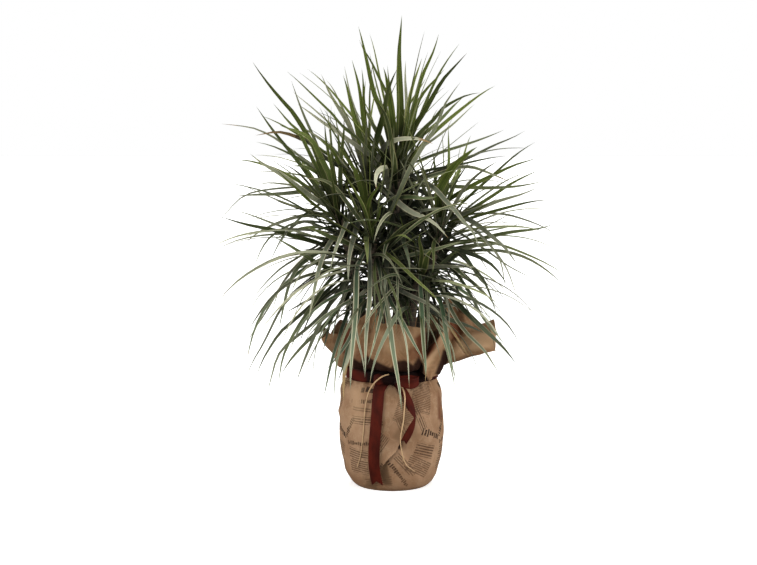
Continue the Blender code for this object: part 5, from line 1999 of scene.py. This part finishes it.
    def plain_shape(self, degrees: np.ndarray, share: np.ndarray) -> tuple[np.ndarray, np.ndarray]:
        """The sheet before it is pleated and creased.

        The bag's rows turn the rounded outline round the axis. The collar's rows run from the neck to the
        free edge, flaring as share ** flare and bulging in front, and slump over the ribbon.

        Args:
            degrees: each column's angle.
            share: how far up the collar each of its rows lies.

        Returns:
            Radius and height in (rows, columns).
        """
        base = np.linspace(0.006, self.outline[0][1], self.base_rows, endpoint=False)
        profile = np.vstack([np.stack([base, np.zeros_like(base)], axis=1), self.bag_profile()])
        reach, top = self.edge(degrees)
        front = np.maximum(0, -np.sin(np.radians(degrees)))
        bulge = self.billow * front * np.sin(math.pi * share ** self.billow_rise)
        sag = np.sin(math.pi * np.clip(share / 0.45, 0, 1))
        sagging = sum(slump.drop * slump.share(degrees) for slump in self.slumps) * sag
        bulging = sum(slump.reach * slump.share(degrees) for slump in self.slumps) * sag
        radius = np.vstack([
            np.repeat(profile[:, :1], self.columns, axis=1),
            self.neck_radius + (reach - self.neck_radius) * share ** self.flare + bulge + bulging,
        ])
        height = np.vstack([
            np.repeat(profile[:, 1:], self.columns, axis=1),
            self.neck_high + (top - self.neck_high) * share - sagging,
        ])
        bag = len(profile)
        radius[bag - 4:] = smooth_rows(radius[bag - 4:], 2)
        loose = 1 - smooth_step(height[:bag], self.neck_low - 0.005, self.neck_low + 0.001)
        radius[:bag] += sum(swell.relief(degrees[None], height[:bag]) for swell in self.swells) * loose
        return radius, height

    def pleated(self, radius: np.ndarray, height: np.ndarray, degrees: np.ndarray,
                share: np.ndarray) -> np.ndarray:
        """The radius with the fold lines' pleats and small gathers, which are deepest at the neck."""
        fold = self.fold(degrees)[None]
        out = smooth_step(height, 0.10, self.neck_low)
        drawn_in = smooth_step(height, 0.178, self.neck_low)
        out[-len(share):] = drawn_in[-len(share):] = (1 - share) ** 1.3
        pleats = np.where(fold > 0, self.pleat * out, self.gather * drawn_in) * fold
        waves = np.arange(31, 64, 4)
        phases = np.random.default_rng(5).uniform(0, TURN, len(waves))
        ripple = np.cos(np.radians(degrees)[:, None] * waves + phases).sum(axis=1) / math.sqrt(len(waves))
        return radius + pleats - 0.0009 * (1 + ripple[None]) * drawn_in

    def crumpled(self, points: np.ndarray, height: np.ndarray, share: np.ndarray) -> np.ndarray:
        """Points moved in and out of the paper by crumpled noise, which grows up the collar."""
        up = np.gradient(points, axis=0)
        round_about = np.roll(points, -1, axis=1) - np.roll(points, 1, axis=1)
        normal = unit(np.cross(round_about, up))
        crumple = self.bag_crumple * smooth_step(height, 0.004, 0.03)
        crumple[-len(share):] = self.bag_crumple + (self.collar_crumple - self.bag_crumple) * share
        wave = 0.7 * creased(points, 0.075, 11) + 0.3 * creased(points, 0.026, 12) - 0.6
        return points + normal * (crumple * wave)[..., None]

    def surface(self) -> tuple[np.ndarray, np.ndarray, np.ndarray]:
        """Works out the sheet's outer face as a grid: its plain shape, pleated, crumpled and creased.

        Returns:
            Points in (rows, columns, 3), each column's angle in degrees, and each row's way up the sheet.
        """
        degrees = self.fold_lines[0][0] + np.linspace(0, 360, self.columns, endpoint=False)
        share = np.linspace(0, 1, self.collar_rows + 1)[1:, None]
        radius, height = self.plain_shape(degrees, share)
        radius = self.pleated(radius, height, degrees, share)
        points = self.crumpled(rounded(radius, np.radians(degrees), height), height, share)
        seen = self.view.seen(points)
        relief = sum(crease.relief(seen) for crease in self.creases) * self.near_side(points)
        tied = np.abs(points[..., 2] - (self.neck_low + self.neck_high) / 2) < 0.012
        tied[len(points) - len(share) + 1:] = False
        points[..., 1] -= np.where(tied, 0.0, relief) * smooth_step(points[..., 2], 0.004, 0.02)
        points[:self.base_rows, :, 2] = 0.0
        points[..., 2] = np.maximum(points[..., 2], 0.0)
        run = np.linalg.norm(np.diff(points, axis=0), axis=-1).mean(axis=1)
        return points, degrees, np.concatenate([[0], np.cumsum(run)])

    def tones(self, points: np.ndarray, patches: tuple[Patch, ...]) -> dict[str, tuple[Domain, np.ndarray]]:
        """How much painted shade, shadow or light the patches lay at each point, as attributes."""
        seen = self.view.seen(points)
        laid = {tone: np.zeros(len(points)) for tone in Tone}
        for patch in patches:
            near = self.near_side(points, patch.reach)
            laid[patch.tone] += near * patch.strength * inside(seen, patch.corners, patch.softness)
        return {tone.value: (Domain.POINT, np.clip(amount, 0, 1)) for tone, amount in laid.items()}

    def build(self, finish: bpy.types.Material) -> BVHTree:
        """Builds the wrap as one sheet, closed under the pot, with the print running round it.

        Args:
            finish: the paper.

        Returns:
            Its outer face as a search tree, which the trim is laid on.
        """
        points, degrees, up = self.surface()
        rows, columns = points.shape[:2]
        quads = grid_quads(rows, columns, Around.CLOSED, Facing.COLUMNS_FIRST)
        floor = fan(rows * columns, np.arange(columns))[:, ::-1]
        reach = np.radians(np.append(degrees, degrees[0] + 360) + 90) * self.widest()
        uv = wrapped_map(reach, up, floor.size)
        vertices = np.vstack([points.reshape(-1, 3), (0, 0, 0)])
        tones = self.tones(vertices, self.patches)
        wrap = mesh_piece("wrap", vertices, [quads, floor], finish, uv, tones, 50.0)
        settle(thicken(wrap, self.sheet), "kraft_paper", "paper_wrap")
        return BVHTree.FromPolygons([tuple(point) for point in vertices], [tuple(quad) for quad in quads])


@dataclass(frozen=True)
class WrapFront:
    """The wrap's outer face in front, for what lies on it."""

    wrap: PaperWrap
    face: BVHTree

    def depth(self, x: float, z: float) -> float:
        """How far forward the paper is at a place in front: its Y, but no deeper than the plain bag's."""
        heights, radii = np.array(self.wrap.outline).T
        radius = float(np.interp(z, heights, radii)) + self.wrap.pleat
        plain = -math.sqrt(max(radius ** 2 - x ** 2, 0.0))
        hit = self.face.ray_cast(Vector((x, -0.3, z)), Vector((0, 1, 0)))[0]
        return min(plain, hit.y) if hit is not None and z < self.wrap.neck_low else plain

    def depths(self, places: np.ndarray, reach: float) -> np.ndarray:
        """How far forward the paper is under a band that runs through places and reaches to both sides."""
        rows = [[self.depth(x + shift, z) for shift in (-reach, 0.0, reach)] for x, z in places]
        return np.min(rows, axis=1)


@dataclass(frozen=True)
class PaperFlap:
    """The loose corner of the outer sheet, whose free edge lies over the ribbon's right tail."""

    front: WrapFront
    free_edge: Path = (
        (0.0036, 0.1976), (0.0089, 0.180), (0.0214, 0.158), (0.0374, 0.137), (0.0267, 0.121),
        (0.016, 0.1015), (0.0071, 0.0783), (-0.0053, 0.0659), (-0.016, 0.0534), (-0.023, 0.0445),
    )
    hidden_edge: float = -0.032
    thickness: float = 0.0004
    rows: int = 90
    columns: int = 40
    low_lift: float = 0.0010
    high_lift: float = 0.0046

    def build(self, finish: bpy.types.Material) -> None:
        """Builds it: a grid between the edge that the left tail hides and the free one."""
        x_free, z_free = np.array(self.free_edge[::-1]).T
        heights = np.linspace(self.free_edge[-1][1], self.free_edge[0][1], self.rows)
        free = np.interp(heights, z_free, x_free)
        share = np.linspace(0, 1, self.columns)
        x = self.hidden_edge + (free[:, None] - self.hidden_edge) * share[None]
        z = np.repeat(heights[:, None], self.columns, axis=1)
        places = np.stack([x, z], axis=-1).reshape(-1, 2)
        y = self.front.depths(places, 0.002).reshape(x.shape)
        y = smooth_rows(smooth_rows(y, 3).T, 3).T
        over_tail = smooth_step(x, -0.010, 0.016) * smooth_step(z, 0.075, 0.105)
        over_tail *= smooth_step(-z, -0.185, -0.160)
        curl = 0.0016 * smooth_step(share, 0.8, 1.0)[None] * smooth_step(-z, -0.185, -0.165)
        lift = self.low_lift + (self.high_lift - self.low_lift) * over_tail + curl
        neck = self.front.wrap.neck_low
        lift *= np.interp(z, (neck - 0.006, neck + 0.002), (1.0, 0.3))
        points = np.stack([x, y - lift, z], axis=-1)
        points[..., 1] -= 0.0007 * creased(points, 0.045, 21)
        quads = grid_quads(self.rows, self.columns, facing=Facing.COLUMNS_FIRST)
        radius = self.front.wrap.widest()
        flat = np.stack([np.arcsin(x / radius) * radius + 0.031, z + 0.083], axis=-1).reshape(-1, 2)
        points = points.reshape(-1, 3)
        tones = self.front.wrap.tones(points, self.front.wrap.flap_patches)
        flap = mesh_piece("wrap_flap", points, [quads], finish, flat[quads.reshape(-1)], tones, 50.0)
        settle(thicken(flap, self.thickness), "kraft_paper")


# The bow and the raffia

@dataclass(frozen=True)
class Trim:
    """Everything tied round the neck: the ribbon's band, knot, loops and tails, and two strands of raffia.

    Places that hang down the wrap's front are (sideways, height), and the loops' are (sideways, out, down)
    from the knot's middle.
    """

    front: WrapFront
    width: float = 0.022
    thickness: float = 0.0007
    lift: float = 0.0022
    knot_centre: tuple[float, float, float] = (-0.005, -0.0885, 0.203)
    knot_size: tuple[float, float, float] = (0.019, 0.0135, 0.017)
    knot_shade_reach: tuple[float, float, float] = (0.015, 0.020, 0.0115)
    band_shade_top: tuple[float, float] = (0.2105, 0.2155)
    tail_left: Path = (
        (-0.011, 0.204), (-0.021, 0.190), (-0.0245, 0.178), (-0.0265, 0.150),
        (-0.0300, 0.110), (-0.0325, 0.070), (-0.0310, 0.040), (-0.0260, 0.014),
    )
    tail_right: Path = (
        (-0.001, 0.204), (0.019, 0.182), (0.030, 0.160), (0.034, 0.138), (0.030, 0.114), (0.018, 0.094),
    )
    raffia_left: Path = (
        (-0.006, 0.2125), (-0.018, 0.2095), (-0.031, 0.199), (-0.042, 0.180), (-0.048, 0.150),
        (-0.050, 0.119), (-0.055, 0.070), (-0.062, 0.043),
    )
    raffia_right: Path = (
        (0.0120, 0.1980), (0.019, 0.185), (0.0215, 0.170), (0.0200, 0.150), (0.0185, 0.130), (0.0135, 0.103),
        (0.0150, 0.083), (0.020, 0.061), (0.027, 0.049), (0.040, 0.039),
    )
    over_loop: Path = (
        (0.0, 0.0010), (0.165, 0.0010), (0.186, 0.0150), (0.1985, 0.0205), (0.2085, 0.0180),
        (0.2125, 0.0110),
    )
    over_flap: Path = (
        (0.0, 0.0010), (0.070, 0.0012), (0.085, 0.0052), (0.155, 0.0066), (0.185, 0.0095), (0.198, 0.0125),
    )
    loop_left: Path3 = (
        (-0.0045, -0.004, 0.000), (-0.014, -0.004, 0.000), (-0.023, -0.002, 0.000), (-0.027, 0.001, 0.000),
        (-0.023, 0.004, 0.000), (-0.014, 0.004, 0.000), (-0.0045, 0.002, 0.000),
    )
    loop_right: Path3 = (
        (0.0045, -0.004, 0.001), (0.022, -0.014, 0.003), (0.040, -0.015, 0.005), (0.0505, -0.006, 0.001),
        (0.043, 0.001, 0.002), (0.026, 0.003, 0.001), (0.0045, 0.002, 0.000),
    )

    def on_wrap(self, places: np.ndarray, reach: float, lift: np.ndarray | float) -> np.ndarray:
        """Points on the wrap's front at (sideways, height), lifted off the paper within reach of them."""
        return np.stack([places[:, 0], self.front.depths(places, reach) - lift, places[:, 1]], axis=1)

    def gathered(self, points: np.ndarray) -> dict[str, tuple[Domain, np.ndarray]]:
        """Painted shade on the satin: at the knot, along the band's top edge in front, and on the band in
        front where it lies deep under the collar.
        """
        away = (points - np.array(self.knot_centre)) / self.knot_shade_reach
        knot = smooth_step(-np.linalg.norm(away, axis=1), -1.3, -0.8)
        low, high = self.band_shade_top
        front = smooth_step(-points[:, 1], 0.02, 0.05)
        top = smooth_step(points[:, 2], low, high) * front
        deep = smooth_step(-np.hypot(points[:, 0], points[:, 1]), -0.0845, -0.0830) * front
        deep = deep * smooth_step(points[:, 0], -0.050, -0.042)
        return {"gathered": (Domain.POINT, np.clip(0.95 * knot + 0.75 * top + 0.9 * deep, 0, 1))}

    def strip(self, name: str, line: np.ndarray, across: np.ndarray, width: np.ndarray, thickness: float,
              cup: float, notch: float, finish: bpy.types.Material) -> bpy.types.Object:
        """A thin band along a line.

        Args:
            name: the piece's name.
            line: points along its middle.
            across: unit vectors across it, one for each point.
            width: its width at each point.
            thickness: its thickness.
            cup: how far its middle stands proud of its edges, as a share of its width.
            notch: how deep a V is cut in its far end, in metres.
            finish: its material.

        Returns:
            The new object.
        """
        columns = np.linspace(-1, 1, 9)
        run = travelled(line)
        even = run / run[-1]
        shares = even[:, None] * (1 - notch * (1 - np.abs(columns)) / run[-1])
        places = sampled(shares, even, line)
        sides = unit(sampled(shares, even, across))
        outward = unit(np.cross(sides, np.gradient(places, axis=0)))
        half = np.interp(shares, even, width)[..., None] / 2
        proud = cup * 2 * half * (1 - columns[None, :, None] ** 2)
        points = places + sides * half * columns[None, :, None] + outward * proud
        quads = grid_quads(len(line), len(columns), facing=Facing.COLUMNS_FIRST)
        flat = np.stack([shares * run[-1], half[..., 0] * columns[None]], axis=-1).reshape(-1, 2)
        points = points.reshape(-1, 3)
        uv = flat[quads.reshape(-1)]
        piece = mesh_piece(name, points, [quads], finish, uv, self.gathered(points), 70.0)
        return thicken(piece, thickness, 0.0)

    def hanging(self, name: str, places: Path, width: float, thickness: float, lift: Path | float,
                cup: float, notch: float, finish: bpy.types.Material,
                taper: float = 1.0) -> bpy.types.Object:
        """A band that hangs down the wrap's front through places. taper is its end's share of its width."""
        drawn = spline(np.array(places), 60)
        heights = drawn[:, 1]
        lifts = np.interp(heights, *np.array(lift).T) if isinstance(lift, tuple) else lift
        line = smooth_rows(self.on_wrap(drawn, width / 2, lifts), 4)
        outward = unit(line * (1, 1, 0))
        across = unit(np.cross(np.gradient(line, axis=0), outward))
        widths = width * np.linspace(1, taper, len(line))
        return self.strip(name, line, across, widths, thickness, cup, notch, finish)

    def loop(self, name: str, places: Path3, finish: bpy.types.Material) -> bpy.types.Object:
        """A loop of the bow: a band whose plan is a drop, pinched narrow where it meets the knot."""
        line = spline(np.array(places) * (1, 1, -1) + np.array(self.knot_centre), 56)
        upright = np.tile((0.0, 0.0, 1.0), (len(line), 1))
        shares = np.linspace(0, 1, len(line))
        widths = self.width * np.interp(shares, (0, 0.25, 0.5, 0.75, 1), (0.45, 0.85, 0.62, 0.85, 0.45))
        return self.strip(name, line, upright, widths, self.thickness, 0.04, 0.0, finish)

    def band(self, finish: bpy.types.Material) -> bpy.types.Object:
        """The ribbon's band round the neck, drawn in a little over the paper's pleats."""
        degrees = np.linspace(-90, 270, 181)
        angles = np.radians(degrees)
        wrap = self.front.wrap
        fold = wrap.fold(np.where(degrees > 269.999, -90, degrees))
        radius = wrap.neck_radius + wrap.pleat + 0.0009 + 0.0005 * fold
        middle = (wrap.neck_low + wrap.neck_high) / 2
        line = rounded(radius, angles, middle)
        upright = np.tile((0.0, 0.0, 1.0), (len(line), 1))
        widths = self.width * (1 - 0.06 * (1 + np.cos(angles * 9)) / 2)
        return self.strip("ribbon_band", line, -upright, widths, self.thickness, 0.02, 0.0, finish)

    def knot(self, finish: bpy.types.Material) -> bpy.types.Object:
        """The knot: a rounded block, pinched in folds that run from top to bottom."""
        rows, columns = 20, 40
        polar = np.linspace(-math.pi / 2, math.pi / 2, rows + 2)[1:-1, None]
        angles = np.linspace(0, TURN, columns, endpoint=False)[None]

        def squared(value: np.ndarray) -> np.ndarray:
            """Rounds less: the value's size raised to a low power, with its sign."""
            return np.sign(value) * np.abs(value) ** 0.55

        pinch = squared(np.cos(polar)) * (1 + 0.05 * np.cos(5 * angles) * np.cos(polar))
        side, front = squared(np.cos(angles)) * pinch, squared(np.sin(angles)) * pinch
        body = crossed(side, front, squared(np.sin(polar)))
        half, centre = np.array(self.knot_size) / 2, np.array(self.knot_centre)
        points = np.vstack([body.reshape(-1, 3), (0, 0, -1), (0, 0, 1)]) * half + centre
        faces = tube_faces(rows, columns)
        corners = np.concatenate([part.reshape(-1) for part in faces])
        flat = (points - centre)[corners][:, [2, 0]]
        return mesh_piece("bow_knot", points, faces, finish, flat, self.gathered(points))

    def build(self) -> None:
        """Builds the bow and the raffia."""
        satin = RibbonFinish().material()
        straw = RaffiaFinish().material()
        thin = self.thickness
        ribbons = (
            self.band(satin),
            self.knot(satin),
            self.loop("bow_loop_left", self.loop_left, satin),
            self.loop("bow_loop_right", self.loop_right, satin),
            self.hanging("bow_tail_left", self.tail_left, 0.0205, thin, self.lift, 0.02, 0.009, satin),
            self.hanging("bow_tail_right", self.tail_right, 0.0132, thin, 0.0030, 0.03, 0.004, satin),
        )
        for piece in ribbons:
            settle(piece, "satin_ribbon", "ribbon_bow")
        left = self.hanging("raffia_strand_left", self.raffia_left, 0.0025, 0.0005, self.over_loop,
                            0.12, 0.0, straw, 0.35)
        right = self.hanging("raffia_strand_right", self.raffia_right, 0.0028, 0.0005, self.over_flap,
                             0.12, 0.0, straw, 0.35)
        settle(left, "raffia", "raffia_left")
        settle(right, "raffia", "raffia_right")


# The studio

@dataclass(frozen=True)
class Studio:
    """A plain pale floor, soft light and the camera at the photograph's angle.

    Lamps are given as (name, compass angle, height angle, softness in degrees, strength).
    """

    view: View = View()
    sensor: float = 36.0
    floor_size: float = 60.0
    lamps: tuple[tuple[str, float, float, float, float], ...] = (
        ("left_light", -154.0, 16.0, 50.0, 2.7),
        ("right_light", -28.0, 14.0, 50.0, 3.2),
        ("front_light", -92.0, 22.0, 50.0, 0.5),
        ("top_light", 80.0, 70.0, 50.0, 1.6),
    )
    sky_light: float = 0.22
    ground_light: float = 0.24
    backdrop: float = 1.0

    def camera(self) -> None:
        """Looks along +Y, a little down, so that the view is as wide at the plant as the photograph's."""
        data = bpy.data.cameras.new("camera")
        data.sensor_width = self.sensor
        data.lens = self.sensor * self.view.distance / self.view.width
        data.clip_end = 100.0
        camera = placed("camera", data)
        camera.location = Vector(self.view.camera_place())
        camera.rotation_euler = Vector(-self.view.back()).to_track_quat("-Z", "Y").to_euler()
        bpy.context.scene.camera = camera

    def lamp(self, name: str, azimuth: float, height: float, softness: float, strength: float) -> None:
        """A large, far and soft light that shines evenly from one direction."""
        data = bpy.data.lights.new(name, "SUN")
        data.angle = math.radians(softness)
        data.energy = strength
        lamp = placed(name, data)
        turn, rise = math.radians(azimuth), math.radians(height)
        source = Vector((math.cos(turn) * math.cos(rise), math.sin(turn) * math.cos(rise), math.sin(rise)))
        lamp.location = source * 4
        lamp.rotation_euler = (-source).to_track_quat("-Z", "Y").to_euler()

    def floor(self) -> None:
        """The floor, at the height that the wrap stands on. It throws no light back up at the plant."""
        half = self.floor_size / 2
        line = np.linspace(-half, half, 9)
        x, y = np.meshgrid(line, line)
        points = np.stack([x, y, np.zeros_like(x)], axis=-1)
        quads = grid_quads(9, 9, facing=Facing.COLUMNS_FIRST)
        floor = mesh_piece("studio_floor", points, [quads], FloorFinish().material())
        floor.visible_diffuse = False
        floor.visible_glossy = False

    def surroundings(self) -> None:
        """A room that lights the plant softly all round and shows plain white behind it."""
        world = bpy.data.worlds.new("studio")
        world.use_nodes = True
        tree = world.node_tree
        ramp = tree.nodes.new("ShaderNodeMapRange")
        ramp.interpolation_type = "SMOOTHSTEP"
        for label, value in (("From Min", -0.3), ("From Max", 0.5), ("To Min", self.ground_light),
                             ("To Max", self.sky_light)):
            ramp.inputs[label].default_value = value
        split = tree.nodes.new("ShaderNodeSeparateXYZ")
        tree.links.new(tree.nodes.new("ShaderNodeTexCoord").outputs["Generated"], split.inputs[0])
        tree.links.new(split.outputs["Z"], ramp.inputs["Value"])
        seen = tree.nodes.new("ShaderNodeMix")
        tree.links.new(tree.nodes.new("ShaderNodeLightPath").outputs["Is Camera Ray"], seen.inputs[0])
        tree.links.new(ramp.outputs["Result"], seen.inputs[2])
        seen.inputs[3].default_value = self.backdrop
        sky = tree.nodes["Background"]
        sky.inputs["Color"].default_value = (1.0, 1.0, 1.0, 1.0)
        tree.links.new(seen.outputs[0], sky.inputs["Strength"])
        bpy.context.scene.world = world

    def build(self) -> None:
        """Sets up the camera, the lights, the floor and the surroundings."""
        self.camera()
        for lamp in self.lamps:
            self.lamp(*lamp)
        self.floor()
        self.surroundings()
        bpy.context.scene.view_settings.view_transform = "Standard"


def main() -> None:
    """Loads the solids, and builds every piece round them."""
    logging.basicConfig(level=logging.INFO, format="%(message)s")
    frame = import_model()
    Studio().build()
    Foliage().build(frame, LeafFinish().material(), BarkFinish().material())
    PottedSoil().build()
    kraft = KraftFinish().material()
    wrap = PaperWrap()
    front = WrapFront(wrap, wrap.build(kraft))
    PaperFlap(front).build(kraft)
    Trim(front).build()


if __name__ == "__main__":
    main()
